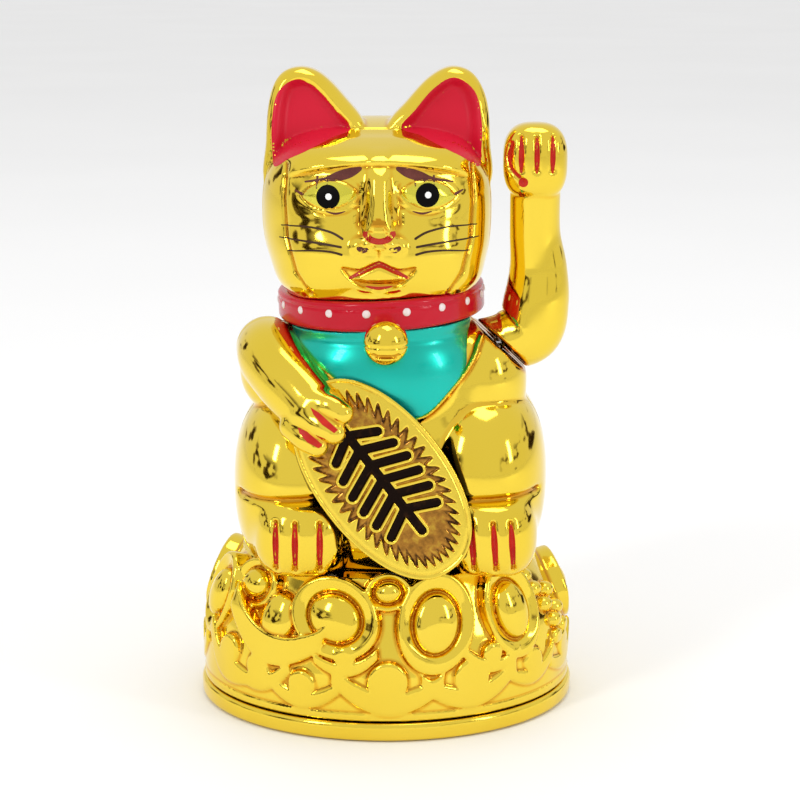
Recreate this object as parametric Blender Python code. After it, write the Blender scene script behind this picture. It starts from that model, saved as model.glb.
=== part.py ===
"""Beckoning cat figurine, battery driven.

A seated cat of two plated half shells sits on a mound of ingots over a round base. Its raised
arm is clamped to an axle; a weighted lever hangs from that axle inside the body, and a coil
under the lever's magnet keeps it swinging. One cell feeds the coil from a bay in the base.

The frame: origin at the middle of the base's underside, +Z up, the cat faces -Y, and +X is on
the right of someone who looks the cat in the face. Sizes below are in millimetres, and the
mesh builders turn them into metres.
"""

import math

import bmesh
import bpy
from mathutils import Matrix, Vector

MM = 0.001
GAP = 0.3

# Shells
WALL = 2.2
SEAM_Y = -9.0
DECK_TOP = 44.0
BODY_BOTTOM = DECK_TOP + GAP

# Base
BASE_HALF_X = 53.9
BASE_HALF_Y = 46.9
RIM_HEIGHT = 5.2
FLOOR_TOP = 3.6
MOUND_BOTTOM = RIM_HEIGHT + GAP
DECK_THICKNESS = 2.0
BASE_SCREWS = ((-32.0, -20.0), (32.0, -20.0), (-38.0, 14.0), (38.0, 14.0))
BODY_SCREWS = ((0.0, -23.5), (0.0, 20.0))

# Battery bay and its sliding door
CELL_RADIUS = 7.15
CELL_LENGTH = 49.2
CELL_CENTRE = Vector((0.5, 18.5, 11.0))
BAY_LOW = Vector((-28.5, 10.7, -1.0))
BAY_HIGH = Vector((28.5, 26.3, 19.0))
BAY_WALL = 1.6
DOOR_FRONT_Y = 9.9
DOOR_HALF_WIDTH = 27.7
TONGUE_HALF_WIDTH = 29.2
TONGUE_LOW, TONGUE_HIGH = 1.2, 2.4
GRIP_WIDTH = 0.9
GRIP_PLACES = (33.0, 35.5, 38.0)

# The two leads, the hole they rise through and the slots they leave the bay by
LEAD_HOLE = (-24.0, 6.0)
LEAD_HOLE_RADIUS = 3.2
LEAD_RADIUS = 0.55
LEAD_SLOT_RADIUS = 1.2
LEAD_START_Y, LEAD_START_Z = 14.0, 12.0
LEAD_ROUTES = {
    "battery_lead_negative": (
        (-30.8, LEAD_START_Y, LEAD_START_Z), (-32.5, 13.2, 14.0), (-32.0, 10.0, 20.0), (-27.0, 6.8, 32.0),
        (-24.6, 6.0, 41.0), (-23.5, 6.4, 47.0), (-19.0, 8.6, 50.2), (-12.0, 8.6, 50.8), (-7.5, 7.1, 51.0),
    ),
    "battery_lead_positive": (
        (30.8, LEAD_START_Y, LEAD_START_Z), (32.6, 13.2, 14.0), (31.0, 8.0, 22.0), (15.0, 4.4, 28.0),
        (-6.0, 4.4, 31.0), (-19.0, 5.0, 36.0), (-22.8, 5.6, 41.0), (-21.6, 5.6, 46.0), (-17.0, 6.8, 48.6),
        (-10.0, 7.2, 49.2), (-3.0, 7.1, 49.6),
    ),
}

# Screws: shank and pilot radii, head height, and the slot across the head
SHANK_RADIUS = 1.0
PILOT_RADIUS = 1.5
FRAME_PILOT_RADIUS = 1.3
HEAD_HEIGHT = 1.6
SMALL_HEAD_RADIUS, LARGE_HEAD_RADIUS = 2.4, 2.7
SLOT_HALF_LENGTH, SLOT_HALF_WIDTH, SLOT_DEPTH = 1.6, 0.3, 0.8

# Arm, axle and pendulum
AXLE_Y = SEAM_Y
AXLE_Z = 104.0
AXLE_RADIUS = 1.2
AXLE_LEFT, AXLE_RIGHT = -17.0, 40.0
RUNNING_RADIUS = 1.3
BUSH_LEFT, BUSH_RIGHT, BUSH_RADIUS = 19.5, 27.0, 2.8
FLANGE_RADIUS, FLANGE_RIGHT = 4.6, 21.0
CLAMP_RADIUS = AXLE_RADIUS + GAP
FACET_X = 27.8
FACET_SLOPE = 0.7
ARM_CLEARANCE = 0.8
ARM_WALL = 1.8
FRAME_LEFT, FRAME_RIGHT = -14.0, 12.0
FRAME_WALL = 2.0
FRAME_FRONT, FRAME_BACK = -15.0, -3.0
SHELF_TOP = 50.0
MAGNET_LOW, MAGNET_HIGH = 58.0, 62.2
WEIGHT_LOW, WEIGHT_HIGH = 63.0, 75.0
WEIGHT_SHIFT_Y = 0.64
WEIGHT_HALF = 6.0
MAGNET_RADIUS = 5.0
FRAME_TOP = 109.0
FOOT_TOP = 46.3
HUB_RADIUS, HUB_HALF = 4.6, 4.0
CLIP_RADIUS, CLIP_THICKNESS = 3.2, 1.0

# Collar, bell, bib and coin
COLLAR_CENTRE = Vector((-1.3, -0.8, 115.6))
COLLAR_HALF_X, COLLAR_HALF_Y = 29.0, 33.6
COLLAR_HEIGHT = 8.2
COLLAR_DEPTH = 3.2
COLLAR_ROLL = math.radians(-2.6)
BELL_CENTRE = Vector((0.3, -40.6, 109.8))
BELL_RADIUS = 6.0
BIB_BACK_Y = -15.0
BIB_THICKNESS = 1.3
COIN_CENTRE = Vector((-0.3, -37.2, 71.6))
COIN_HALF_LENGTH, COIN_HALF_WIDTH = 31.5, 16.5
COIN_THICKNESS = 3.4
COIN_TURN = math.radians(52.0)
COIN_LEAN = math.radians(-7.0)
COIN_RIM, COIN_DISH = 3.2, 1.1

# The cat's rounded masses: name, centre, half sizes, squareness (2 is an ellipsoid)
TORSO = ("torso", (0.0, 1.0, 70.0), (38.0, 33.0, 44.0), 2.5)
CHEST = ("chest", (-1.0, -6.0, 97.0), (28.0, 27.0, 19.0), 2.3)
NECK = ("neck", (-1.3, -0.8, 114.0), (25.4, 29.8, 14.0), 2.6)
HEAD = ("head", (-2.4, 0.0, 141.5), (32.0, 31.5, 25.0), 2.6)
LEFT_THIGH = ("left_thigh", (-28.5, -4.0, 65.0), (16.5, 29.0, 26.0), 2.2)
RIGHT_THIGH = ("right_thigh", (28.8, -4.0, 66.0), (17.0, 29.0, 26.0), 2.2)
SOLID_MASSES = (
    ("left_ear", (-22.2, 4.0, 160.0), (12.4, 6.5, 19.9), 1.75),
    ("right_ear", (17.2, 4.0, 160.0), (12.4, 6.5, 20.0), 1.75),
    ("left_foot", (-24.5, -30.5, 51.5), (11.0, 13.5, 9.5), 2.3),
    ("right_foot", (31.5, -30.5, 51.5), (10.0, 13.0, 9.5), 2.3),
    ("right_shoulder", (25.0, -9.0, 93.0), (14.5, 16.0, 17.0), 2.2),
    ("left_shoulder", (-29.5, -10.0, 97.5), (13.2, 15.0, 14.0), 2.0),
    ("left_paw", (-17.5, -37.5, 77.5), (8.5, 8.0, 8.0), 2.2),
)
HOLLOW_MASSES = (TORSO, CHEST, NECK, HEAD, LEFT_THIGH, RIGHT_THIGH)

# Centre line of the resting forearm and of the tail: point and radius
LEFT_FOREARM = (((-31.0, -15.0, 95.0), 9.0), ((-24.5, -29.0, 86.0), 8.3), ((-17.5, -36.0, 78.0), 7.0))
TAIL = (
    ((8.0, 27.0, 48.5), 4.0),
    ((16.0, 33.0, 49.5), 5.0),
    ((25.0, 30.0, 52.0), 5.0),
    ((31.0, 22.0, 56.0), 4.4),
)

# Raised arm: point and radius along its centre line, then the paw
ARM_LINE = (
    ((27.5, AXLE_Y, 101.2), 5.8),
    ((34.0, AXLE_Y, 102.8), 8.0),
    ((40.4, AXLE_Y, 106.4), 9.4),
    ((42.2, AXLE_Y, 115.0), 9.0),
    ((42.4, AXLE_Y, 124.0), 7.9),
    ((41.3, -10.0, 135.0), 7.0),
    ((41.1, -11.5, 147.0), 7.0),
)
ARM_PAW = ("arm_paw", (40.7, -12.0, 154.3), (9.2, 8.8, 11.2), 2.5)

# Mound outline: height, half width, half depth
MOUND_SECTIONS = (
    (MOUND_BOTTOM, 52.4, 45.4),
    (9.0, 53.2, 46.2),
    (17.0, 53.2, 46.2),
    (26.0, 51.2, 44.6),
    (33.0, 48.2, 42.6),
    (38.5, 45.0, 41.0),
    (DECK_TOP, 41.0, 38.5),
)
# Ingots that stand proud of the mound: bearing in degrees from the front, height, half size
INGOTS = (
    (-16.0, 31.0, 11.5),
    (17.0, 28.0, 11.5),
    (46.0, 30.0, 9.5),
    (-50.0, 27.0, 10.5),
    (-88.0, 26.0, 10.0),
    (82.0, 27.0, 10.0),
    (125.0, 27.0, 10.0),
    (160.0, 29.0, 10.5),
    (-125.0, 27.0, 10.0),
    (-160.0, 28.0, 10.5),
)
INGOT_INSET = 3.0

GOLD = (0.83, 0.58, 0.09)

# Reach of a cutting block beyond anything it cuts
FAR = 80.0


# ---------------------------------------------------------------- scene and materials
def clear_scene():
    for obj in list(bpy.data.objects):
        bpy.data.objects.remove(obj)


def make_material(name, colour, roughness, metallic=0.0):
    material = bpy.data.materials.new(name)
    material.use_nodes = True
    shader = material.node_tree.nodes["Principled BSDF"]
    shader.inputs["Base Color"].default_value = (*colour, 1.0)
    shader.inputs["Roughness"].default_value = roughness
    shader.inputs["Metallic"].default_value = metallic
    material.diffuse_color = (*colour, 1.0)
    return material


def named(obj, name, colour, roughness, metallic=0.0, origin=None):
    """Give a finished piece its name, its material and, where it moves, its joint's origin."""
    obj.name = name
    obj.data.name = name
    obj.data.materials.clear()
    obj.data.materials.append(make_material(name, colour, roughness, metallic))
    obj.data.shade_smooth()
    obj.data.set_sharp_from_angle(angle=math.radians(35))
    if origin is not None:
        place = Vector(origin) * MM
        obj.data.transform(Matrix.Translation(-place))
        obj.location = place
    return obj


# ---------------------------------------------------------------- mesh builders
def new_object(mesh_builder, name="shape"):
    """An object in metres from a bmesh drawn in millimetres."""
    mesh = bpy.data.meshes.new(name)
    bmesh.ops.recalc_face_normals(mesh_builder, faces=mesh_builder.faces)
    mesh_builder.to_mesh(mesh)
    mesh_builder.free()
    mesh.transform(Matrix.Scale(MM, 4))
    obj = bpy.data.objects.new(name, mesh)
    bpy.context.scene.collection.objects.link(obj)
    return obj


def box(low, high):
    """A rectangular block between two opposite corners."""
    builder = bmesh.new()
    low, high = Vector(low), Vector(high)
    size = high - low
    place = Matrix.Translation((low + high) / 2) @ Matrix.Diagonal((*size, 1.0))
    bmesh.ops.create_cube(builder, size=1.0, matrix=place)
    return new_object(builder)


def mass(form, grow=0.0, segments=20):
    """A rounded mass, grown outwards or, with a negative value, inwards."""
    _, centre, half_sizes, power = form
    builder = bmesh.new()
    bmesh.ops.create_uvsphere(builder, u_segments=segments, v_segments=segments // 2, radius=1.0)
    for vertex in builder.verts:
        direction = vertex.co.copy()
        reach = sum(abs(part) ** power for part in direction) ** (-1.0 / power)
        for axis in range(3):
            vertex.co[axis] = centre[axis] + direction[axis] * reach * (half_sizes[axis] + grow)
    return new_object(builder)


def ring(builder, centre, side, up, radius, sides):
    """Vertices of one circle with the given centre, in the plane of side and up."""
    vertices = []
    for step in range(sides):
        angle = math.tau * step / sides
        vertices.append(builder.verts.new(centre + radius * (math.cos(angle) * side + math.sin(angle) * up)))
    return vertices


def skin(builder, rings, closed_loop=False):
    """Faces between neighbouring rings, with flat ends unless the rings close on themselves."""
    count = len(rings[0])
    pairs = list(zip(rings, rings[1:]))
    if closed_loop:
        pairs.append((rings[-1], rings[0]))
    for lower, upper in pairs:
        for step in range(count):
            after = (step + 1) % count
            builder.faces.new((lower[step], lower[after], upper[after], upper[step]))
    if not closed_loop:
        builder.faces.new(list(reversed(rings[0])))
        builder.faces.new(rings[-1])


def smooth_line(knots, steps):
    """Points and radii on a smooth curve through the knots (Catmull-Rom)."""
    values = [Vector((*point, radius)) for point, radius in knots]
    values = [2 * values[0] - values[1], *values, 2 * values[-1] - values[-2]]
    out = []
    for first, second, third, fourth in zip(values, values[1:], values[2:], values[3:]):
        for step in range(steps):
            t = step / steps
            out.append(0.5 * (2 * second + (third - first) * t
                              + (2 * first - 5 * second + 4 * third - fourth) * t ** 2
                              + (3 * second - first - 3 * third + fourth) * t ** 3))
    out.append(values[-2])
    return [(value.to_3d(), value[3]) for value in out]


def tube(line, sides=12, grow=0.0):
    """A round bar of varying radius along a line of (point, radius)."""
    builder = bmesh.new()
    points = [Vector(point) for point, _ in line]
    side = None
    rings = []
    for index, (_, radius) in enumerate(line):
        before = points[max(index - 1, 0)]
        after = points[min(index + 1, len(points) - 1)]
        along = (after - before).normalized()
        if side is None:
            side = along.orthogonal().normalized()
        side = (side - side.dot(along) * along).normalized()
        rings.append(ring(builder, points[index], side, along.cross(side), radius + grow, sides))
    skin(builder, rings)
    return new_object(builder)


def loft(sections, segments=36, grow=0.0):
    """Stacked ellipses of (height, half width, half depth), closed with flat ends."""
    builder = bmesh.new()
    rings = []
    for height, half_x, half_y in sections:
        row = []
        for step in range(segments):
            angle = math.tau * step / segments
            x = (half_x + grow) * math.cos(angle)
            y = (half_y + grow) * math.sin(angle)
            row.append(builder.verts.new((x, y, height)))
        rings.append(row)
    skin(builder, rings)
    return new_object(builder)


def turned(profile, centre, axis="Z", segments=24):
    """A closed (radius, height) profile turned about an axis through centre."""
    builder = bmesh.new()
    on_axis = [radius == 0.0 for radius, _ in profile]
    rings = []
    for step in range(segments):
        angle = math.tau * step / segments
        rings.append([(radius * math.cos(angle), radius * math.sin(angle), height)
                      for radius, height in profile])
    poles = {index: builder.verts.new((0.0, 0.0, profile[index][1]))
             for index, touches in enumerate(on_axis) if touches}
    columns = [[poles[index] if index in poles else builder.verts.new(point)
                for index, point in enumerate(row)] for row in rings]
    for step in range(segments):
        here, there = columns[step], columns[(step + 1) % segments]
        for index in range(len(profile)):
            after = (index + 1) % len(profile)
            corners = (here[index], there[index], there[after], here[after])
            corners = list(dict.fromkeys(corners))
            if len(corners) > 2:
                builder.faces.new(corners)
    if axis == "X":
        bmesh.ops.rotate(builder, verts=builder.verts, matrix=Matrix.Rotation(math.pi / 2, 3, "Y"))
    if axis == "Y":
        bmesh.ops.rotate(builder, verts=builder.verts, matrix=Matrix.Rotation(-math.pi / 2, 3, "X"))
    bmesh.ops.translate(builder, verts=builder.verts, vec=Vector(centre))
    return new_object(builder)


def cylinder(radius, low, high, centre, axis="Z", segments=24):
    """A round bar from low to high, measured from centre along the axis."""
    return turned(((0.0, low), (radius, low), (radius, high), (0.0, high)), centre, axis, segments)


def prism(outline, low_y, high_y):
    """An outline of (x, z) points, drawn through in Y."""
    builder = bmesh.new()
    front = [builder.verts.new((x, low_y, z)) for x, z in outline]
    back = [builder.verts.new((x, high_y, z)) for x, z in outline]
    skin(builder, [front, back])
    return new_object(builder)


def boolean(target, others, operation, solver="EXACT"):
    """Join, cut or keep the common part of target with each of the others in turn.

    EXACT loses faces where many rounded masses meet, so those forms use MANIFOLD.
    """
    for other in others:
        modifier = target.modifiers.new(operation, "BOOLEAN")
        modifier.operation = operation
        modifier.solver = solver
        modifier.object = other
        graph = bpy.context.evaluated_depsgraph_get()
        mesh = bpy.data.meshes.new_from_object(target.evaluated_get(graph))
        target.modifiers.clear()
        target.data = mesh
        bpy.data.objects.remove(other)
    return target


def united(objects, solver="EXACT"):
    return boolean(objects[0], objects[1:], "UNION", solver)


# ---------------------------------------------------------------- the cat's outer form
def masses_grown(forms, grow, segments=20):
    return [mass(form, grow, segments) for form in forms]


def cat_form(grow=0.0, segments=20):
    """The whole seated cat as one solid, without its raised arm."""
    parts = masses_grown(HOLLOW_MASSES, grow, segments)
    parts += masses_grown(SOLID_MASSES, grow, 14)
    parts.append(tube(smooth_line(LEFT_FOREARM, 2), 12, grow))
    parts.append(tube(smooth_line(TAIL, 2), 8, grow))
    return united(parts, "MANIFOLD")


def shoulder_facet():
    """The wedge outside the slanted flat that the raised arm turns against."""
    low_z, high_z = 86.0, 112.0
    outline = (
        (FACET_X + FACET_SLOPE * (AXLE_Z - low_z), low_z),
        (70.0, low_z),
        (70.0, high_z),
        (FACET_X + FACET_SLOPE * (AXLE_Z - high_z), high_z),
    )
    return prism(outline, -60.0, 60.0)


def collar_band(grow=0.0):
    """The collar's rounded band, wider than deep by the neck's own shape."""
    depth = COLLAR_DEPTH / 2 + grow
    height = COLLAR_HEIGHT / 2 + grow
    builder = bmesh.new()
    rings = []
    for step in range(28):
        angle = math.tau * step / 28
        outward = Vector((math.cos(angle), math.sin(angle), 0.0))
        middle = Vector((
            (COLLAR_HALF_X - COLLAR_DEPTH / 2) * outward.x,
            (COLLAR_HALF_Y - COLLAR_DEPTH / 2) * outward.y,
            0.0,
        ))
        row = []
        for corner in range(8):
            turn = math.tau * (corner + 0.5) / 8
            across = depth * max(-1.0, min(1.0, 1.25 * math.cos(turn)))
            rise = height * max(-1.0, min(1.0, 1.1 * math.sin(turn)))
            row.append(builder.verts.new(middle + across * outward + Vector((0.0, 0.0, rise))))
        rings.append(row)
    skin(builder, rings, closed_loop=True)
    place = Matrix.Translation(COLLAR_CENTRE) @ Matrix.Rotation(COLLAR_ROLL, 4, "Y")
    bmesh.ops.transform(builder, matrix=place, verts=builder.verts)
    return new_object(builder)


def cat_shell():
    """The hollow cat before it is parted into its two half shells."""
    outer = cat_form()
    bosses = [
        box((-4.0, -36.0, 40.0), (4.0, -20.5, 52.0)),
        box((-4.0, 16.0, 40.0), (4.0, 36.0, 56.0)),
    ]
    keep = outer.copy()
    bpy.context.scene.collection.objects.link(keep)
    cavity = united(masses_grown(HOLLOW_MASSES, -WALL, 14), "MANIFOLD")
    shell = boolean(outer, [cavity], "DIFFERENCE", "MANIFOLD")
    for boss in bosses:
        limit = keep.copy()
        bpy.context.scene.collection.objects.link(limit)
        boolean(boss, [limit], "INTERSECT", "MANIFOLD")
    bpy.data.objects.remove(keep)
    boolean(shell, bosses, "UNION", "MANIFOLD")
    cuts = [
        box((-FAR, -FAR, -10.0), (FAR, FAR, BODY_BOTTOM)),
        shoulder_facet(),
        collar_band(GAP),
        cylinder(BUSH_RADIUS + GAP, 15.0, 34.0, (0.0, AXLE_Y, AXLE_Z), "X", 16),
        cylinder(FLANGE_RADIUS + GAP, 14.0, FLANGE_RIGHT + GAP, (0.0, AXLE_Y, AXLE_Z), "X", 16),
    ]
    cuts += [cylinder(PILOT_RADIUS, 40.0, 50.5, (x, y, 0.0), "Z", 8) for x, y in BODY_SCREWS]
    return boolean(shell, cuts, "DIFFERENCE", "MANIFOLD")


def parted_at_seam(whole):
    """The front and rear halves of a closed hollow form, a gap apart at the seam plane."""
    rear = whole.copy()
    rear.data = whole.data.copy()
    bpy.context.scene.collection.objects.link(rear)
    boolean(whole, [box((-FAR, SEAM_Y - GAP / 2, 0.0), (FAR, FAR, 200.0))], "DIFFERENCE", "MANIFOLD")
    boolean(rear, [box((-FAR, -FAR, 0.0), (FAR, SEAM_Y + GAP / 2, 200.0))], "DIFFERENCE", "MANIFOLD")
    return whole, rear


def body_shells():
    front, rear = parted_at_seam(cat_shell())
    named(front, "body_front_shell", GOLD, 0.12, 1.0)
    named(rear, "body_rear_shell", GOLD, 0.12, 1.0)


# ---------------------------------------------------------------- trim on the cat
def collar():
    named(collar_band(), "collar", (0.62, 0.02, 0.05), 0.25)


def bell():
    """A round bell on a short lug that reaches back to the collar."""
    sphere = mass(("bell", BELL_CENTRE, (BELL_RADIUS,) * 3, 2.0), 0.0, 16)
    collar_front = COLLAR_CENTRE.y - COLLAR_HALF_Y - GAP
    lug_height = BELL_CENTRE.z + 3.2
    lug = cylinder(1.2, 0.0, collar_front - BELL_CENTRE.y, (BELL_CENTRE.x, BELL_CENTRE.y, lug_height), "Y", 8)
    slot = box(BELL_CENTRE + Vector((-3.6, -7.0, -3.2)), BELL_CENTRE + Vector((3.6, -4.4, -2.2)))
    bell_body = boolean(united([sphere, lug]), [slot], "DIFFERENCE")
    named(bell_body, "bell", GOLD, 0.12, 1.0)


def bib():
    """A lacquered cloth shape over the chest, under the collar and behind the resting arm."""
    outline = (
        (-27.5, 113.0), (-28.5, 110.0), (-22.0, 105.0), (-14.0, 99.0), (-4.0, 92.0), (3.0, 88.6),
        (8.0, 87.8), (12.5, 89.2), (18.0, 94.0), (22.5, 99.0), (25.5, 105.0), (26.5, 113.0),
    )
    patch = united(masses_grown((TORSO, CHEST), BIB_THICKNESS), "MANIFOLD")
    boolean(patch, [prism(outline, -70.0, BIB_BACK_Y)], "INTERSECT", "MANIFOLD")
    cuts = [cat_form(GAP), collar_band(GAP), shoulder_facet()]
    boolean(patch, cuts, "DIFFERENCE", "MANIFOLD")
    named(patch, "bib", (0.0, 0.55, 0.45), 0.25, 0.6)


def coin_outline(grow=0.0, steps=10):
    """A pointed oval made of two arcs that meet at its ends, with the ends rounded."""
    half_length = COIN_HALF_LENGTH + grow
    half_width = COIN_HALF_WIDTH + grow
    points = []
    for side in (1.0, -1.0):
        for step in range(steps):
            along = side * half_length * math.cos(math.pi * step / steps)
            across = side * half_width * math.sin(math.pi * step / steps) ** 0.85
            turned_x = along * math.cos(COIN_TURN) + across * math.sin(COIN_TURN)
            turned_z = -along * math.sin(COIN_TURN) + across * math.cos(COIN_TURN)
            points.append((COIN_CENTRE.x + turned_x, COIN_CENTRE.z + turned_z))
    return points


def koban_coin():
    """The oval coin on the belly, dished inside its flat rim."""
    back = COIN_CENTRE.y + COIN_THICKNESS / 2
    front = COIN_CENTRE.y - COIN_THICKNESS / 2
    coin = prism(coin_outline(), front, back)
    boolean(coin, [prism(coin_outline(-COIN_RIM), front - 1.0, front + COIN_DISH)], "DIFFERENCE")
    centre = COIN_CENTRE * MM
    lean = Matrix.Translation(centre) @ Matrix.Rotation(COIN_LEAN, 4, "X") @ Matrix.Translation(-centre)
    coin.data.transform(lean)
    clearance = [cat_form(GAP), *masses_grown((TORSO, CHEST), BIB_THICKNESS + GAP)]
    boolean(coin, clearance, "DIFFERENCE", "MANIFOLD")
    named(coin, "koban_coin", GOLD, 0.2, 1.0)


# ---------------------------------------------------------------- raised arm
def arm_root_relief():
    """The hollow cone and back clearance that keep the turning arm off the shoulder flat."""
    reach = 15.0
    apex = FACET_X + ARM_CLEARANCE
    profile = ((0.0, 15.0), (reach, 15.0), (reach, apex + FACET_SLOPE * reach), (0.0, apex))
    relief = turned(profile, (0.0, AXLE_Y, AXLE_Z), "X", 20)
    return boolean(relief, [box((0.0, -40.0, 80.0), (60.0, 40.0, AXLE_Z + 3.0))], "INTERSECT")


def arm_shells():
    arm = united([tube(smooth_line(ARM_LINE, 2), 14), mass(ARM_PAW, 0.0, 16)], "MANIFOLD")
    line = smooth_line(ARM_LINE, 2)[5:]
    cavity = united([tube(line, 8, -ARM_WALL), mass(ARM_PAW, -ARM_WALL, 10)], "MANIFOLD")
    end_face = box((15.0, -40.0, 80.0), (FACET_X + ARM_CLEARANCE, 40.0, 130.0))
    bore = cylinder(CLAMP_RADIUS, 10.0, AXLE_RIGHT + GAP, (0.0, AXLE_Y, AXLE_Z), "X", 12)
    boolean(arm, [cavity, end_face, arm_root_relief(), bore], "DIFFERENCE", "MANIFOLD")
    front, rear = parted_at_seam(arm)
    pivot = (FACET_X, AXLE_Y, AXLE_Z)
    named(front, "arm_front_shell", GOLD, 0.12, 1.0, pivot)
    named(rear, "arm_rear_shell", GOLD, 0.12, 1.0, pivot)


# ---------------------------------------------------------------- swinging mechanism
def axle():
    shaft = cylinder(AXLE_RADIUS, AXLE_LEFT, AXLE_RIGHT, (0.0, AXLE_Y, AXLE_Z), "X", 16)
    named(shaft, "arm_axle", (0.7, 0.7, 0.72), 0.25, 1.0, (0.0, AXLE_Y, AXLE_Z))


def shoulder_bush():
    """A flanged bush that the seam of the two body shells closes on."""
    profile = (
        (RUNNING_RADIUS, BUSH_LEFT), (FLANGE_RADIUS, BUSH_LEFT), (FLANGE_RADIUS, FLANGE_RIGHT),
        (BUSH_RADIUS, FLANGE_RIGHT), (BUSH_RADIUS, BUSH_RIGHT), (RUNNING_RADIUS, BUSH_RIGHT),
    )
    bush = turned(profile, (0.0, AXLE_Y, AXLE_Z), "X", 16)
    named(bush, "shoulder_bush", (0.85, 0.85, 0.82), 0.4)


def swing_frame():
    """Two uprights that carry the axle, a shelf for the coil board and two screwed feet."""
    left = box((FRAME_LEFT, FRAME_FRONT, BODY_BOTTOM), (FRAME_LEFT + FRAME_WALL, FRAME_BACK, FRAME_TOP))
    right = box((FRAME_RIGHT - FRAME_WALL, FRAME_FRONT, BODY_BOTTOM), (FRAME_RIGHT, FRAME_BACK, FRAME_TOP))
    shelf = box((FRAME_LEFT + 1.0, FRAME_FRONT, SHELF_TOP - 2.0), (FRAME_RIGHT - 1.0, FRAME_BACK, SHELF_TOP))
    foot_left = box((FRAME_LEFT - 8.0, FRAME_FRONT, BODY_BOTTOM), (FRAME_LEFT + 1.0, FRAME_BACK, FOOT_TOP))
    foot_right = box((FRAME_RIGHT - 1.0, FRAME_FRONT, BODY_BOTTOM), (FRAME_RIGHT + 8.0, FRAME_BACK, FOOT_TOP))
    frame = united([left, right, shelf, foot_left, foot_right])
    cuts = [cylinder(RUNNING_RADIUS, -20.0, 20.0, (0.0, AXLE_Y, AXLE_Z), "X", 24)]
    cuts += [cylinder(PILOT_RADIUS, 40.0, 50.0, (x, AXLE_Y, 0.0), "Z", 8) for x in frame_screw_places()]
    boolean(frame, cuts, "DIFFERENCE")
    named(frame, "swing_frame", (0.82, 0.82, 0.8), 0.5)


def frame_screw_places():
    return (FRAME_LEFT - 4.5, FRAME_RIGHT + 4.5)


def axle_clips():
    for name, low in (("axle_clip_inner", FRAME_LEFT - 1.3), ("axle_clip_outer", FRAME_RIGHT + 0.3)):
        high = low + CLIP_THICKNESS
        profile = ((CLAMP_RADIUS, low), (CLIP_RADIUS, low), (CLIP_RADIUS, high), (CLAMP_RADIUS, high))
        clip = turned(profile, (0.0, AXLE_Y, AXLE_Z), "X", 16)
        named(clip, name, (0.5, 0.5, 0.52), 0.3, 1.0, (0.0, AXLE_Y, AXLE_Z))


def pendulum():
    """The lever on the axle, the iron weight clamped round it, and the magnet at its tip."""
    pivot = (0.0, AXLE_Y, AXLE_Z)
    hub = cylinder(HUB_RADIUS, -HUB_HALF, HUB_HALF, pivot, "X", 24)
    bar = box((-1.5, AXLE_Y - 3.0, MAGNET_HIGH + GAP), (1.5, AXLE_Y + 3.0, AXLE_Z))
    lever = united([hub, bar])
    boolean(lever, [cylinder(CLAMP_RADIUS, -6.0, 6.0, pivot, "X", 16)], "DIFFERENCE")
    named(lever, "pendulum_lever", (0.8, 0.8, 0.78), 0.5, 0.0, pivot)
    middle = AXLE_Y + WEIGHT_SHIFT_Y
    low = (-WEIGHT_HALF, middle - WEIGHT_HALF, WEIGHT_LOW)
    high = (WEIGHT_HALF, middle + WEIGHT_HALF, WEIGHT_HIGH)
    weight = box(low, high)
    slot = box((-1.8, AXLE_Y - 3.3, 60.0), (1.8, AXLE_Y + 3.3, 80.0))
    boolean(weight, [slot], "DIFFERENCE")
    named(weight, "pendulum_weight", (0.16, 0.16, 0.17), 0.5, 0.8, pivot)
    magnet = cylinder(MAGNET_RADIUS, MAGNET_LOW, MAGNET_HIGH, (0.0, AXLE_Y, 0.0), "Z", 24)
    named(magnet, "pendulum_magnet", (0.3, 0.3, 0.32), 0.35, 0.8, pivot)


def coil_and_board():
    board = box((FRAME_LEFT + 2.3, -18.0, SHELF_TOP + GAP), (FRAME_RIGHT - 2.3, 6.0, SHELF_TOP + 1.7))
    named(board, "circuit_board", (0.05, 0.3, 0.12), 0.5)
    floor = SHELF_TOP + 2.0
    spool = (
        (1.5, floor), (8.0, floor), (8.0, floor + 0.8), (3.0, floor + 0.8),
        (3.0, floor + 3.2), (8.0, floor + 3.2), (8.0, floor + 4.0), (1.5, floor + 4.0),
    )
    named(turned(spool, (0.0, AXLE_Y, 0.0), "Z", 18), "coil_bobbin", (0.85, 0.85, 0.8), 0.5)
    wound = ((3.3, floor + 1.1), (7.4, floor + 1.1), (7.4, floor + 2.9), (3.3, floor + 2.9))
    named(turned(wound, (0.0, AXLE_Y, 0.0), "Z", 18), "coil_winding", (0.72, 0.3, 0.1), 0.35, 1.0)
    chip = box((-6.0, 0.6, floor), (-1.0, 4.6, floor + 1.5))
    named(chip, "drive_chip", (0.03, 0.03, 0.03), 0.5)


# ---------------------------------------------------------------- base
def ingot_form(bearing, height, half_size):
    """A low rounded lump whose middle lies on the mound's slope."""
    lower = max(section for section in MOUND_SECTIONS if section[0] <= height)
    upper = min(section for section in MOUND_SECTIONS if section[0] > height)
    share = (height - lower[0]) / (upper[0] - lower[0])
    half_x = lower[1] + share * (upper[1] - lower[1]) - INGOT_INSET
    half_y = lower[2] + share * (upper[2] - lower[2]) - INGOT_INSET
    angle = math.radians(bearing)
    centre = Vector((half_x * math.sin(angle), -half_y * math.cos(angle), height))
    lump = mass(("ingot", (0.0, 0.0, 0.0), (half_size, 0.5 * half_size, 0.8 * half_size), 2.4), 0.0, 12)
    lump.data.transform(Matrix.Translation(centre * MM) @ Matrix.Rotation(angle, 4, "Z"))
    return lump


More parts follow.
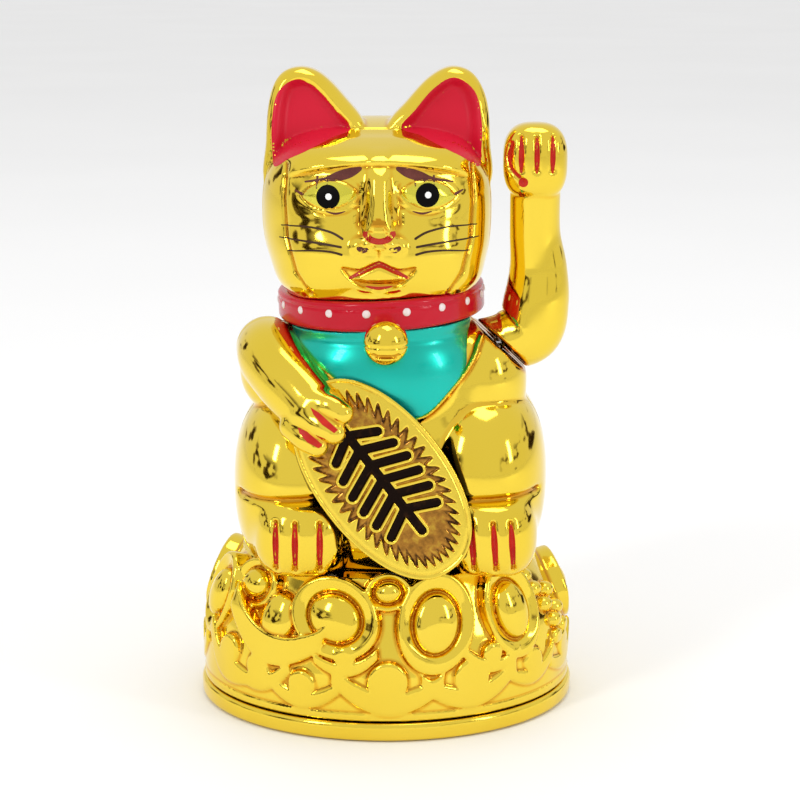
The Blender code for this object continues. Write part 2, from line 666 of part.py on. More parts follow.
def mound_shell():
    """The hollow heap of ingots that the cat sits on, with posts for the base's screws."""
    outer = loft(MOUND_SECTIONS)
    hollow = [(0.0, *MOUND_SECTIONS[0][1:])]
    hollow += [section for section in MOUND_SECTIONS if section[0] < 40.0]
    hollow.append((DECK_TOP - DECK_THICKNESS, 41.4, 38.8))
    cavity = loft(hollow, 24, -WALL - 0.4)
    posts = [cylinder(3.6, MOUND_BOTTOM, 43.0, (x, y, 0.0), "Z", 10) for x, y in BASE_SCREWS]
    for post in posts:
        limit = outer.copy()
        bpy.context.scene.collection.objects.link(limit)
        boolean(post, [limit], "INTERSECT", "MANIFOLD")
    shell = boolean(outer, [ingot_form(*ingot) for ingot in INGOTS], "UNION", "MANIFOLD")
    boolean(shell, [cavity], "DIFFERENCE", "MANIFOLD")
    boolean(shell, posts, "UNION", "MANIFOLD")
    cuts = [cylinder(PILOT_RADIUS, 0.0, 16.0, (x, y, 0.0), "Z", 8) for x, y in BASE_SCREWS]
    cuts += [cylinder(PILOT_RADIUS, 38.0, 50.0, (x, y, 0.0), "Z", 8) for x, y in BODY_SCREWS]
    cuts += [cylinder(FRAME_PILOT_RADIUS, 38.0, 50.0, (x, AXLE_Y, 0.0), "Z", 8) for x in frame_screw_places()]
    cuts.append(cylinder(LEAD_HOLE_RADIUS, 38.0, 50.0, (*LEAD_HOLE, 0.0), "Z", 10))
    seat = cat_form(GAP)
    boolean(seat, [box((-FAR, -FAR, DECK_TOP), (FAR, FAR, FAR))], "INTERSECT", "MANIFOLD")
    cuts.append(seat)
    cuts.append(box((-FAR, -FAR, -10.0), (FAR, FAR, MOUND_BOTTOM)))
    boolean(shell, cuts, "DIFFERENCE", "MANIFOLD")
    named(shell, "mound_shell", GOLD, 0.15, 1.0)


def base_plate():
    """The round bottom with its rim, the battery bay and the groove of the sliding door."""
    edge = 0.7
    plate = loft((
        (0.0, BASE_HALF_X - edge, BASE_HALF_Y - edge),
        (edge, BASE_HALF_X, BASE_HALF_Y),
        (RIM_HEIGHT - edge, BASE_HALF_X, BASE_HALF_Y),
        (RIM_HEIGHT, BASE_HALF_X - edge, BASE_HALF_Y - edge),
    ), 40)
    boolean(plate, [loft(((FLOOR_TOP, 50.4, 43.4), (8.0, 50.4, 43.4)), 28)], "DIFFERENCE")
    walls = Vector((BAY_WALL, BAY_WALL, BAY_WALL))
    bay = box(Vector((*(BAY_LOW - walls).xy, 1.0)), BAY_HIGH + walls)
    boolean(plate, [bay], "UNION")
    cuts = [
        box(BAY_LOW, BAY_HIGH),
        box((-DOOR_HALF_WIDTH - GAP, DOOR_FRONT_Y - GAP, -1.0),
            (DOOR_HALF_WIDTH + GAP, 60.0, TONGUE_LOW + 0.4)),
        box((-TONGUE_HALF_WIDTH - GAP, DOOR_FRONT_Y - GAP, TONGUE_LOW - GAP),
            (TONGUE_HALF_WIDTH + GAP, 60.0, TONGUE_HIGH + GAP)),
    ]
    for x, y in BASE_SCREWS:
        cuts.append(cylinder(3.1, -1.0, 2.3, (x, y, 0.0), "Z", 14))
        cuts.append(cylinder(PILOT_RADIUS, 0.0, 8.0, (x, y, 0.0), "Z", 8))
    for low_x, high_x in ((-34.0, -26.0), (26.0, 34.0)):
        cuts.append(cylinder(LEAD_SLOT_RADIUS, low_x, high_x, (0.0, LEAD_START_Y, LEAD_START_Z), "X", 10))
    boolean(plate, cuts, "DIFFERENCE")
    named(plate, "base_plate", GOLD, 0.15, 1.0)


def battery_door():
    """A sliding cover with side tongues; its outer end carries on the base's rim."""
    lower = box((-DOOR_HALF_WIDTH, DOOR_FRONT_Y, GAP), (DOOR_HALF_WIDTH, 60.0, TONGUE_LOW + 0.1))
    upper = box((-TONGUE_HALF_WIDTH, DOOR_FRONT_Y, TONGUE_LOW), (TONGUE_HALF_WIDTH, 60.0, TONGUE_HIGH))
    door = united([lower, upper])
    end_x, end_y = BASE_HALF_X - 0.4, BASE_HALF_Y - 0.4
    round_end = loft(((-1.0, end_x, end_y), (5.0, end_x, end_y)), 40)
    boolean(door, [round_end], "INTERSECT")
    grips = [box((-9.0, y, -1.0), (9.0, y + GRIP_WIDTH, 0.8)) for y in GRIP_PLACES]
    boolean(door, grips, "DIFFERENCE")
    named(door, "battery_door", GOLD, 0.3, 0.6, (0.0, DOOR_FRONT_Y, 0.0))


def battery():
    half = CELL_LENGTH / 2
    profile = (
        (0.0, -half), (CELL_RADIUS - 0.5, -half), (CELL_RADIUS, -half + 0.5), (CELL_RADIUS, half - 1.2),
        (CELL_RADIUS - 1.0, half), (2.7, half), (2.7, half + 1.1), (0.0, half + 1.1),
    )
    cell = turned(profile, CELL_CENTRE, "X", 20)
    named(cell, "battery_cell", (0.05, 0.12, 0.4), 0.35)


def battery_contacts():
    """The coiled spring at the cell's flat end and the sprung plate at its button end."""
    turns, steps = 3, 10
    flat_end = CELL_CENTRE.x - CELL_LENGTH / 2
    start = BAY_LOW.x + 0.8
    line = []
    for step in range(turns * steps + 1):
        share = step / (turns * steps)
        angle = math.tau * turns * share
        radius = 5.2 - 2.4 * share
        x = start + share * (flat_end - GAP - 0.45 - start)
        point = (x, CELL_CENTRE.y + radius * math.cos(angle), CELL_CENTRE.z + radius * math.sin(angle))
        line.append((point, 0.4))
    named(tube(line, 6), "battery_spring", (0.7, 0.7, 0.7), 0.3, 1.0)
    plate = box((BAY_HIGH.x - 0.8, 14.0, 5.5), (BAY_HIGH.x - 0.3, 23.0, 16.5))
    named(plate, "battery_contact", (0.75, 0.72, 0.6), 0.3, 1.0)


def battery_leads():
    """Two thin leads from the bay's ends, through the deck, to the edge of the coil board."""
    colours = {"battery_lead_negative": (0.02, 0.02, 0.02), "battery_lead_positive": (0.6, 0.03, 0.03)}
    for name, route in LEAD_ROUTES.items():
        line = smooth_line([(point, LEAD_RADIUS) for point in route], 2)
        named(tube(line, 6), name, colours[name], 0.5)


# ---------------------------------------------------------------- fasteners
def screw(name, place, head_low, head_radius, shank_high, upside_down=False):
    """A self-tapping pan-head screw driven upwards, with a cross slot in its head."""
    x, y = place
    head_high = head_low + HEAD_HEIGHT
    profile = (
        (0.0, head_low), (head_radius - 0.5, head_low),
        (head_radius, head_low + 0.5), (head_radius, head_high),
        (SHANK_RADIUS, head_high), (SHANK_RADIUS, shank_high - 1.0), (0.0, shank_high),
    )
    if upside_down:
        total = head_low + shank_high
        profile = tuple((radius, total - height) for radius, height in profile)
    body = turned(profile, (x, y, 0.0), "Z", 10)
    if upside_down:
        low, high = shank_high - SLOT_DEPTH, shank_high + 1.0
    else:
        low, high = head_low - 1.0, head_low + SLOT_DEPTH
    slots = []
    for half_x, half_y in ((SLOT_HALF_LENGTH, SLOT_HALF_WIDTH), (SLOT_HALF_WIDTH, SLOT_HALF_LENGTH)):
        slots.append(box((x - half_x, y - half_y, low), (x + half_x, y + half_y, high)))
    boolean(body, slots, "DIFFERENCE")
    named(body, name, (0.6, 0.6, 0.62), 0.3, 1.0)


def screws():
    for index, place in enumerate(BASE_SCREWS, 1):
        screw(f"base_screw_{index}", place, 0.4, LARGE_HEAD_RADIUS, 14.0)
    for index, place in enumerate(BODY_SCREWS, 1):
        head_low = DECK_TOP - DECK_THICKNESS - GAP - HEAD_HEIGHT
        screw(f"body_screw_{index}", place, head_low, LARGE_HEAD_RADIUS, 50.0)
    for index, x in enumerate(frame_screw_places(), 1):
        screw(f"frame_screw_{index}", (x, AXLE_Y), 40.2, SMALL_HEAD_RADIUS, 48.2, upside_down=True)


def main():
    clear_scene()
    body_shells()
    collar()
    bell()
    bib()
    koban_coin()
    arm_shells()
    axle()
    shoulder_bush()
    swing_frame()
    axle_clips()
    pendulum()
    coil_and_board()
    mound_shell()
    base_plate()
    battery_door()
    battery()
    battery_contacts()
    battery_leads()
    screws()


main()
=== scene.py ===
"""Looks of the beckoning cat figurine: gold-plated shells, lacquered collar, bib and ear linings,
a stamped koban coin, a heap of ingots, and the painted face and claws.

Every skin is sculpted as a signed distance in millimetres, meshed, and settled onto its exact surface.
Paint is a thin closed film that follows the skin under it.
"""
import math

import bpy
import numpy as np
import openvdb
from mathutils import Matrix, Vector
from mathutils.geometry import delaunay_2d_cdt


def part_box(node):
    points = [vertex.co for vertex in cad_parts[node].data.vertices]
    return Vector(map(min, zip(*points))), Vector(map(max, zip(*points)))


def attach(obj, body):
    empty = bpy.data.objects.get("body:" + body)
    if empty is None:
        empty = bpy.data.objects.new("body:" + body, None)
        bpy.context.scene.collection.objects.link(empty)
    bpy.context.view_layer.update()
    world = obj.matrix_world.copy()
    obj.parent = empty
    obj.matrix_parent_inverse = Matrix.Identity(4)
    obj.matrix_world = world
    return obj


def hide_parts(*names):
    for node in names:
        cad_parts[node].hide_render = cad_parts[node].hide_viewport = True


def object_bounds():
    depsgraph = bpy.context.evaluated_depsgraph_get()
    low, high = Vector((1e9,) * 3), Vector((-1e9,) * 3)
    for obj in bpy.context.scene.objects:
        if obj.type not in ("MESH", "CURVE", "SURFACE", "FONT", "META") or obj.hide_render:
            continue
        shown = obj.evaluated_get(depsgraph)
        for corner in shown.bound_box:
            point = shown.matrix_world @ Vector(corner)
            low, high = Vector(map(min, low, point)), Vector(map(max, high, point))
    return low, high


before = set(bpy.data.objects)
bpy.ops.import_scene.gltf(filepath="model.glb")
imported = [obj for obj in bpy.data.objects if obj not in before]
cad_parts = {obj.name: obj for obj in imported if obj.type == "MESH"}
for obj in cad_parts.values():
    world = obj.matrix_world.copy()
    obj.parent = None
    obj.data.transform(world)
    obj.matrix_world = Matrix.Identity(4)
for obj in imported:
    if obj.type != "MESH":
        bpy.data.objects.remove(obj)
CAD_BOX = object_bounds()

MM = 0.001
FAR = 6.0  # distance given to a point that no stroke reaches
MARGIN = 3.0  # how far past its own box a stroke still works
FIELD_LIMIT = 3.0  # distances in the voxel grid are cut off here


def box_mm(node):
    """Lowest and highest corner of a CAD node in millimetres."""
    low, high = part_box(node)
    return np.array(low) / MM, np.array(high) / MM


# ---------------------------------------------------------------- places read from the frame
SEAM_Y = (box_mm("body_front_shell")[1][1] + box_mm("body_rear_shell")[0][1]) / 2
BODY_BOTTOM = box_mm("body_front_shell")[0][2]
AXLE_Y = sum(corner[1] for corner in box_mm("arm_axle")) / 2
AXLE_Z = sum(corner[2] for corner in box_mm("arm_axle")) / 2
COLLAR_LOW, COLLAR_HIGH = box_mm("collar")
BASE_HALF_X, BASE_HALF_Y = box_mm("base_plate")[1][:2]
MOUND_FLOOR = box_mm("mound_shell")[0][2]
TOP_Z = CAD_BOX[1][2] / MM
GAP = 0.3
HAIRLINE = 0.12

# ---------------------------------------------------------------- sizes of the skins, millimetres
FACET_X, FACET_SLOPE = 31.5, 1.05
JOINT_REACH = 19.0
ARM_CLEARANCE = 0.4
SWING_RISE, SWING_FALL = 0.292, 0.956
POCKET_RADIUS = 11.0
COLLAR_CENTRE = np.array((-1.3, -0.8, 115.6))
COLLAR_HALF = np.array((29.0, 33.6))
COLLAR_HEIGHT, COLLAR_DEPTH = 8.2, 3.2
COLLAR_ROLL = math.radians(-2.6)
BELL_CENTRE = np.array((0.3, -40.6, 109.8))
BELL_RADIUS = 6.0
COIN_CENTRE = np.array((-0.8, -37.2, 71.8))
COIN_HALF_LENGTH, COIN_HALF_WIDTH = 31.0, 17.6
COIN_TURN = math.radians(52.0)
COIN_LEAN = math.radians(-7.0)


# ---------------------------------------------------------------- small numeric helpers
def smooth_step(low, high, value):
    share = np.clip((value - low) / (high - low), 0.0, 1.0)
    return share * share * (3.0 - 2.0 * share)


def smooth_min(first, second, blend):
    lap = np.maximum(blend - np.abs(first - second), 0.0) / blend
    return np.minimum(first, second) - lap * lap * blend * 0.25


def smooth_max(first, second, blend):
    return -smooth_min(-first, -second, blend)


def hill(distance, width):
    """1 on the line, falling smoothly to nothing at about twice the width."""
    return np.exp(-((distance / width) ** 2))


def curve_through(knots, steps, closed=False):
    """Points of a smooth line through the knots, which may have any number of columns."""
    knots = np.array(knots, float)
    count = len(knots)
    spans = count if closed else count - 1
    points = []
    for span in range(spans):
        if closed:
            around = [knots[(span + shift) % count] for shift in (-1, 0, 1, 2)]
        else:
            around = [knots[min(max(span + shift, 0), count - 1)] for shift in (-1, 0, 1, 2)]
        before, start, end, after = around
        for step in range(steps):
            t = step / steps
            points.append(0.5 * (
                2 * start
                + (end - before) * t
                + (2 * before - 5 * start + 4 * end - after) * t * t
                + (3 * start - before - 3 * end + after) * t ** 3
            ))
    if not closed:
        points.append(knots[-1])
    return np.array(points)


def square_to_edge(flat, start, end):
    """Squared distance in a plane to one straight piece."""
    edge = end - start
    to_point = flat - start
    share = np.clip(to_point @ edge / max(edge @ edge, 1e-12), 0.0, 1.0)
    gap = to_point - share[:, None] * edge
    return (gap * gap).sum(axis=1)


def outline_distance(flat, outline):
    """Signed distance in a plane to a closed outline, negative inside."""
    best = np.full(len(flat), 1e9)
    inside = np.zeros(len(flat), bool)
    for start, end in zip(outline, np.roll(outline, -1, axis=0)):
        best = np.minimum(best, square_to_edge(flat, start, end))
        edge = end - start
        crosses = (start[1] > flat[:, 1]) != (end[1] > flat[:, 1])
        if edge[1] != 0.0:
            inside ^= crosses & (flat[:, 0] < start[0] + (flat[:, 1] - start[1]) * edge[0] / edge[1])
    return np.where(inside, -1.0, 1.0) * np.sqrt(best)


def line_distance(flat, line):
    """Distance in a plane to an open line of straight pieces."""
    best = np.full(len(flat), 1e9)
    for start, end in zip(line[:-1], line[1:]):
        best = np.minimum(best, square_to_edge(flat, start, end))
    return np.sqrt(best)


def oval_side(x, y, half_x, half_y):
    """Distance to the wall of an upright oval, negative inside."""
    u, v = x / half_x, y / half_y
    size = np.sqrt(u * u + v * v)
    steep = np.sqrt((u / half_x) ** 2 + (v / half_y) ** 2) / np.maximum(size, 1e-4)
    return (size - 1.0) / np.maximum(steep, 1e-3)


# ---------------------------------------------------------------- distance shapes
class Shape:
    """A distance function with the box that holds its inside."""

    def __init__(self, distance, low, high):
        self.distance = distance
        self.low = np.array(low, float)
        self.high = np.array(high, float)


def mass(centre, half, power=2.3, turn=None):
    """A rounded block: power 2 is an ellipsoid, more is squarer."""
    centre = np.array(centre, float)
    half = np.array(half, float)

    def distance(points):
        local = points - centre
        if turn is not None:
            local = local @ turn
        scaled = np.abs(local) / half
        size = (scaled ** power).sum(axis=1) ** (1.0 / power)
        slope = (scaled ** (power - 1.0)) / half
        steep = np.sqrt((slope * slope).sum(axis=1)) * np.maximum(size, 1e-4) ** (1.0 - power)
        return (size - 1.0) / np.maximum(steep, 1e-3)

    reach = half if turn is None else np.abs(np.array(turn)) @ half
    return Shape(distance, centre - reach, centre + reach)


def limb(stations, steps=10):
    """A round limb along a smooth line through stations of (x, y, z, radius)."""
    line = curve_through(stations, steps)
    ahead = np.gradient(line, axis=0)

    def distance(points):
        centres = line[:, :3]
        squares = (centres * centres).sum(axis=1)[None, :] - 2.0 * points @ centres.T
        nearest = np.argmin(squares, axis=1)
        place = line[nearest]
        along = ahead[nearest]
        share = ((points - place[:, :3]) * along[:, :3]).sum(axis=1) / (along[:, :3] ** 2).sum(axis=1)
        share = np.clip(share, -0.5, 0.5)
        low = np.clip(nearest + np.where(share < 0, -1, 0), 0, len(line) - 2)
        start, end = line[low], line[low + 1]
        edge = end - start
        part = ((points - start[:, :3]) * edge[:, :3]).sum(axis=1) / (edge[:, :3] ** 2).sum(axis=1)
        part = np.clip(part, 0.0, 1.0)[:, None]
        on_line = start + part * edge
        return np.sqrt(((points - on_line[:, :3]) ** 2).sum(axis=1)) - on_line[:, 3]

    thick = line[:, 3].max()
    return Shape(distance, line[:, :3].min(axis=0) - thick, line[:, :3].max(axis=0) + thick)


def block(low, high, edge=0.3):
    """A box with rounded edges."""
    low, high = np.array(low, float), np.array(high, float)
    middle, half = (low + high) / 2, (high - low) / 2 - edge

    def distance(points):
        over = np.abs(points - middle) - half
        outside = np.sqrt((np.maximum(over, 0.0) ** 2).sum(axis=1))
        return outside + np.minimum(over.max(axis=1), 0.0) - edge

    return Shape(distance, low, high)


def rod(start, end, radius):
    """A cylinder with flat ends."""
    start, end = np.array(start, float), np.array(end, float)
    length = np.linalg.norm(end - start)
    axis = (end - start) / length

    def distance(points):
        local = points - start
        along = local @ axis
        across = np.sqrt(np.maximum((local * local).sum(axis=1) - along * along, 0.0)) - radius
        return np.maximum(across, np.maximum(-along, along - length))

    reach = radius * np.sqrt(np.maximum(1.0 - axis * axis, 0.0))
    return Shape(distance, np.minimum(start, end) - reach, np.maximum(start, end) + reach)


def half_space(point, outward, low, high):
    """Everything behind a plane, within a box."""
    point = np.array(point, float)
    outward = np.array(outward, float) / np.linalg.norm(outward)
    return Shape(lambda points: (points - point) @ outward, low, high)


def stacked_ovals(sections):
    """A solid whose level cuts are ovals: rows of (z, half width, half depth)."""
    rows = np.array(sections, float)
    levels = np.linspace(rows[0, 0], rows[-1, 0], 80)
    smooth = np.stack([np.interp(levels, rows[:, 0], rows[:, column]) for column in (1, 2)])
    soft = np.ones(7) / 7
    padded = np.pad(smooth, ((0, 0), (3, 3)), mode="edge")
    smooth = np.stack([np.convolve(row, soft, "valid") for row in padded])

    def distance(points):
        half_x = np.interp(points[:, 2], levels, smooth[0])
        half_y = np.interp(points[:, 2], levels, smooth[1])
        side = oval_side(points[:, 0], points[:, 1], half_x, half_y)
        return np.maximum(side, np.maximum(rows[0, 0] - points[:, 2], points[:, 2] - rows[-1, 0]))

    widest, deepest = rows[:, 1].max(), rows[:, 2].max()
    return Shape(distance, (-widest, -deepest, rows[0, 0]), (widest, deepest, rows[-1, 0]))


class Solid:
    """A solid worked by strokes; each stroke changes the distance inside its own box."""

    def __init__(self):
        self.strokes = []
        self.low = np.full(3, 1e9)
        self.high = np.full(3, -1e9)

    def stroke(self, change, low, high):
        self.strokes.append((change, np.array(low, float) - MARGIN, np.array(high, float) + MARGIN))

    def join(self, shape, blend=1.2):
        self.stroke(lambda f, p: smooth_min(f, shape.distance(p), blend), shape.low, shape.high)
        self.low = np.minimum(self.low, shape.low)
        self.high = np.maximum(self.high, shape.high)

    def cut(self, shape, blend=0.3):
        self.stroke(lambda f, p: smooth_max(f, -shape.distance(p), blend), shape.low, shape.high)

    def raise_by(self, height, low, high):
        """Lift the surface by height(points) millimetres."""
        self.stroke(lambda f, p: f - height(p), low, high)

    def part(self, axis, side, at, gap):
        """The part of this solid on one side of a plane, its cut edges a hair rounded."""
        half = Solid()
        half.strokes = list(self.strokes)
        half.low, half.high = self.low.copy(), self.high.copy()
        edge = at + side * gap / 2
        if side > 0:
            half.low[axis] = edge
        else:
            half.high[axis] = edge
        whole_low, whole_high = self.low - 9.0, self.high + 9.0
        half.stroke(lambda f, p: smooth_max(f, side * (edge - p[:, axis]), 0.35), whole_low, whole_high)
        return half

    def distance(self, points):
        found = np.full(len(points), FAR)
        for change, low, high in self.strokes:
            inside = np.flatnonzero(((points > low) & (points < high)).all(axis=1))
            if len(inside):
                found[inside] = change(found[inside], points[inside])
        return found

    def slope(self, points, reach=0.02):
        """Distance and its gradient at points."""
        here = self.distance(points)
        gradient = np.empty_like(points)
        for axis in range(3):
            moved = points.copy()
            moved[:, axis] += reach
            gradient[:, axis] = (self.distance(moved) - here) / reach
        return here, gradient


# ---------------------------------------------------------------- from distance to mesh
BLOCK = 4  # cells on a side that are tested together
HALF_DIAGONAL, STEEPEST = 0.87, 1.35  # of a unit cube; of any distance used here
SETTLING_ROUNDS = 3


def mesh_data(solid, step):
    """Points and quads of the solid's surface, the points settled onto it."""
    low = solid.low - 2.0 * step
    blocks = np.ceil((solid.high + 2.0 * step - low) / (step * BLOCK)).astype(int) + 1
    corner = [np.arange(count) for count in blocks]
    index = np.stack(np.meshgrid(*corner, indexing="ij"), axis=-1).reshape(-1, 3)
    centres = low + (index * BLOCK + (BLOCK - 1) / 2) * step
    rough = solid.distance(centres)
    near = np.abs(rough) < BLOCK * step * HALF_DIAGONAL * STEEPEST + 0.8
    field = np.sign(rough).astype(np.float32).reshape(blocks) * FIELD_LIMIT
    for axis in range(3):
        field = np.repeat(field, BLOCK, axis=axis)
    inner = np.stack(np.meshgrid(*[np.arange(BLOCK)] * 3, indexing="ij"), axis=-1).reshape(-1, 3)
    cells = (index[near][:, None, :] * BLOCK + inner[None, :, :]).reshape(-1, 3)
    field[cells[:, 0], cells[:, 1], cells[:, 2]] = np.clip(
        solid.distance(low + cells * step), -FIELD_LIMIT, FIELD_LIMIT)
    grid = openvdb.FloatGrid(FIELD_LIMIT)
    grid.copyFromArray(np.ascontiguousarray(field))
    points, quads = grid.convertToQuads()
    points = low + np.array(points, float) * step
    quads = np.array(quads, int)
    for _ in range(SETTLING_ROUNDS):
        here, gradient = solid.slope(points)
        steep = np.maximum((gradient * gradient).sum(axis=1), 0.2)
        move = -(here / steep)[:, None] * gradient
        length = np.sqrt((move * move).sum(axis=1))
        points += move * np.minimum(1.0, 0.5 * step / np.maximum(length, 1e-9))[:, None]
    first = points[quads[:, 0]]
    areas = np.cross(points[quads[:, 1]] - first, points[quads[:, 2]] - first)
    areas += np.cross(points[quads[:, 2]] - first, points[quads[:, 3]] - first)
    if (first * areas).sum() < 0.0:
        quads = quads[:, ::-1]
    return points, quads


def mesh_object(name, points, faces, material, smooth=True, origin=None):
    """An object from points in millimetres and faces of one size."""
    origin = np.zeros(3) if origin is None else np.array(origin, float)
    faces = np.ascontiguousarray(faces, dtype=np.int32)
    count, sides = faces.shape
    mesh = bpy.data.meshes.new(name)
    mesh.vertices.add(len(points))
    mesh.vertices.foreach_set("co", ((points - origin) * MM).astype(np.float32).ravel())
    mesh.loops.add(count * sides)
    mesh.loops.foreach_set("vertex_index", faces.ravel())
    mesh.polygons.add(count)
    mesh.polygons.foreach_set("loop_start", np.arange(0, count * sides, sides, dtype=np.int32))
    mesh.update(calc_edges=True)
    mesh.validate()
    mesh.polygons.foreach_set("use_smooth", [smooth] * len(mesh.polygons))
    mesh.materials.append(material)
    obj = bpy.data.objects.new(name, mesh)
    obj.location = Vector(origin * MM)
    bpy.context.scene.collection.objects.link(obj)
    return obj


def creases(solid, points, reach=0.9):
    """How strongly the surface folds inward at each point, from 0 to 1."""
    here = solid.distance(points)
    total = -6.0 * here
    for axis in range(3):
        for side in (-reach, reach):
            moved = points.copy()
            moved[:, axis] += side
            total += solid.distance(moved)
    return np.clip(-total / reach * 0.9, 0.0, 1.0)


def skin(name, solid, step, material, nodes, body="figure", with_fold_shade=True, joint=None):
    """Mesh a solid, mark its folds and joint faces for the lacquer pooling and painted shade, and let it
    stand for its CAD nodes.
    """
    points, quads = mesh_data(solid, step)
    obj = mesh_object(name, points, quads, material)
    if with_fold_shade:
        folds = obj.data.attributes.new("fold_shade", "FLOAT", "POINT")
        # crease depth darkens the gold: lacquer pooled in the folds plus painted shade
        fold_and_joint_shade = creases(solid, points)
        # painted shade on the joint faces near the axle, where the arm's end face and the shoulder flat face
        # each other
        if joint is not None:
            reach = np.hypot(points[:, 1] - AXLE_Y, points[:, 2] - AXLE_Z) - JOINT_REACH
            fold_and_joint_shade = np.maximum(fold_and_joint_shade, hill(np.abs(joint(points)) + np.maximum(reach, 0.0), 0.6))
        folds.data.foreach_set("value", fold_and_joint_shade.astype(np.float32))
    finish_piece(obj, body, nodes)


def finish_piece(obj, body, nodes):
    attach(obj, body)
    if nodes:
        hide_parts(*nodes)


# ---------------------------------------------------------------- paint films
FILM_LIFT = 0.05
FILM_DEPTH = 0.12
FILM_STEP, FINE_STEP = 0.4, 0.35
PUPIL_LIFT, GLINT_LIFT = 0.11, 0.17  # the pupil lies on the eye, the glint on the pupil


def stroke_outline(line, widths):
    """The outline of a brush stroke along a line, with its width at each point of the line."""
    line = np.array(line, float)
    widths = np.broadcast_to(np.array(widths, float), (len(line),))
    ahead = np.gradient(line, axis=0)
    ahead /= np.maximum(np.linalg.norm(ahead, axis=1), 1e-9)[:, None]
    aside = np.stack([-ahead[:, 1], ahead[:, 0]], axis=1) * (widths / 2)[:, None]
    start_cap = line[0] - ahead[0] * widths[0] * 0.35
    end_cap = line[-1] + ahead[-1] * widths[-1] * 0.35
    return np.concatenate([line + aside, [end_cap], (line - aside)[::-1], [start_cap]])


def brush(knots, widths, steps=6):
    """A smooth brush stroke through the knots: (x, z) places and the width at each."""
    rows = np.column_stack([np.array(knots, float), np.broadcast_to(widths, (len(knots),))])
    line = curve_through(rows, steps)
    return stroke_outline(line[:, :2], line[:, 2])


def resampled(outline, spacing):
    points = []
    for start, end in zip(outline, np.roll(outline, -1, axis=0)):
        pieces = max(1, int(np.linalg.norm(end - start) / spacing))
        for piece in range(pieces):
            points.append(start + (end - start) * piece / pieces)
    return np.array(points)


def filled(outline, step):
    """Triangles that fill a closed outline: flat points, faces and the number of border points."""
    border = resampled(outline, step)
    low, high = border.min(axis=0), border.max(axis=0)
    across = np.arange(low[0], high[0] + step, step)
    up = np.arange(low[1], high[1] + step, step * 0.87)
    grid_x, grid_z = np.meshgrid(across, up)
    grid_x[1::2] += step / 2
    inner = np.stack([grid_x.ravel(), grid_z.ravel()], axis=1)
    inner = inner[outline_distance(inner, border) < -0.4 * step]
    flat = np.concatenate([border, inner])
    edges = [(i, (i + 1) % len(border)) for i in range(len(border))]
    made = delaunay_2d_cdt([Vector(p) for p in flat], edges, [], 1, 1e-6)
    return np.array([tuple(v) for v in made[0]]), np.array(made[2], int)


def laid_from_front(solid, flat, start_y):
    """Where lines along +Y from start_y first meet the solid."""
    points = np.stack([flat[:, 0], np.full(len(flat), start_y), flat[:, 1]], axis=1)
    for _ in range(60):
        points[:, 1] += np.clip(solid.distance(points), -1.0, 4.0) * 0.7
    return points


def film_data(solid, outline, start_y, step=FILM_STEP, lift=FILM_LIFT):
    """A thin closed film over the solid inside an outline seen from the front."""
    flat, faces = filled(np.array(outline, float), step)
    points = laid_from_front(solid, flat, start_y)
    _, gradient = solid.slope(points)
    normal = gradient / np.maximum(np.linalg.norm(gradient, axis=1), 1e-9)[:, None]
    outer = points + normal * lift
    inner = points - normal * FILM_DEPTH
    first = outer[faces[:, 0]]
    turn = np.cross(outer[faces[:, 1]] - first, outer[faces[:, 2]] - first)
    if (turn * normal[faces[:, 0]]).sum() < 0.0:
        faces = faces[:, ::-1]
    count = len(outer)
    sides = {}
    for a, b in np.concatenate([faces[:, [0, 1]], faces[:, [1, 2]], faces[:, [2, 0]]]):
        sides[(a, b)] = True
    rim = [(a, b) for a, b in sides if (b, a) not in sides]
    walls = [(b, a, a + count) for a, b in rim] + [(b, a + count, b + count) for a, b in rim]
    return np.concatenate([outer, inner]), np.concatenate([faces, faces[:, ::-1] + count, np.array(walls)])


def films(name, solid, outlines, start_y, material, step=FILM_STEP, lift=FILM_LIFT, body="figure"):
    """One piece of paint made of several films."""
    all_points, all_faces, used = [], [], 0
    for outline in outlines:
        points, faces = film_data(solid, outline, start_y, step, lift)
        all_points.append(points)
        all_faces.append(faces + used)
        used += len(points)
    obj = mesh_object(name, np.concatenate(all_points), np.concatenate(all_faces), material)
    obj.data.set_sharp_from_angle(angle=math.radians(50.0))
    finish_piece(obj, body, ())


# ---------------------------------------------------------------- materials
def new_material(name):
    material = bpy.data.materials.new(name)
    material.use_nodes = True
    return material, material.node_tree.nodes, material.node_tree.links


def noise_node(nodes, links, scale, detail, source):
    noise = nodes.new("ShaderNodeTexNoise")
    noise.inputs["Scale"].default_value = scale
    noise.inputs["Detail"].default_value = detail
    links.new(source.outputs["Object"], noise.inputs["Vector"])
    return noise


def ramp_node(nodes, links, value, stops):
    ramp = nodes.new("ShaderNodeValToRGB")
    links.new(value, ramp.inputs["Fac"])
    elements = ramp.color_ramp.elements
    elements[0].position, elements[0].color = stops[0][0], (*stops[0][1], 1.0)
    elements[1].position, elements[1].color = stops[-1][0], (*stops[-1][1], 1.0)
    for position, colour in stops[1:-1]:
        elements.new(position).color = (*colour, 1.0)
    return ramp


def range_node(nodes, links, value, low, high):
    remap = nodes.new("ShaderNodeMapRange")
    links.new(value, remap.inputs["Value"])
    remap.inputs["To Min"].default_value = low
    remap.inputs["To Max"].default_value = high
    return remap


def bump_node(nodes, links, height, strength, distance):
    bump = nodes.new("ShaderNodeBump")
    bump.inputs["Strength"].default_value = strength
    bump.inputs["Distance"].default_value = distance
    links.new(height, bump.inputs["Height"])
    return bump


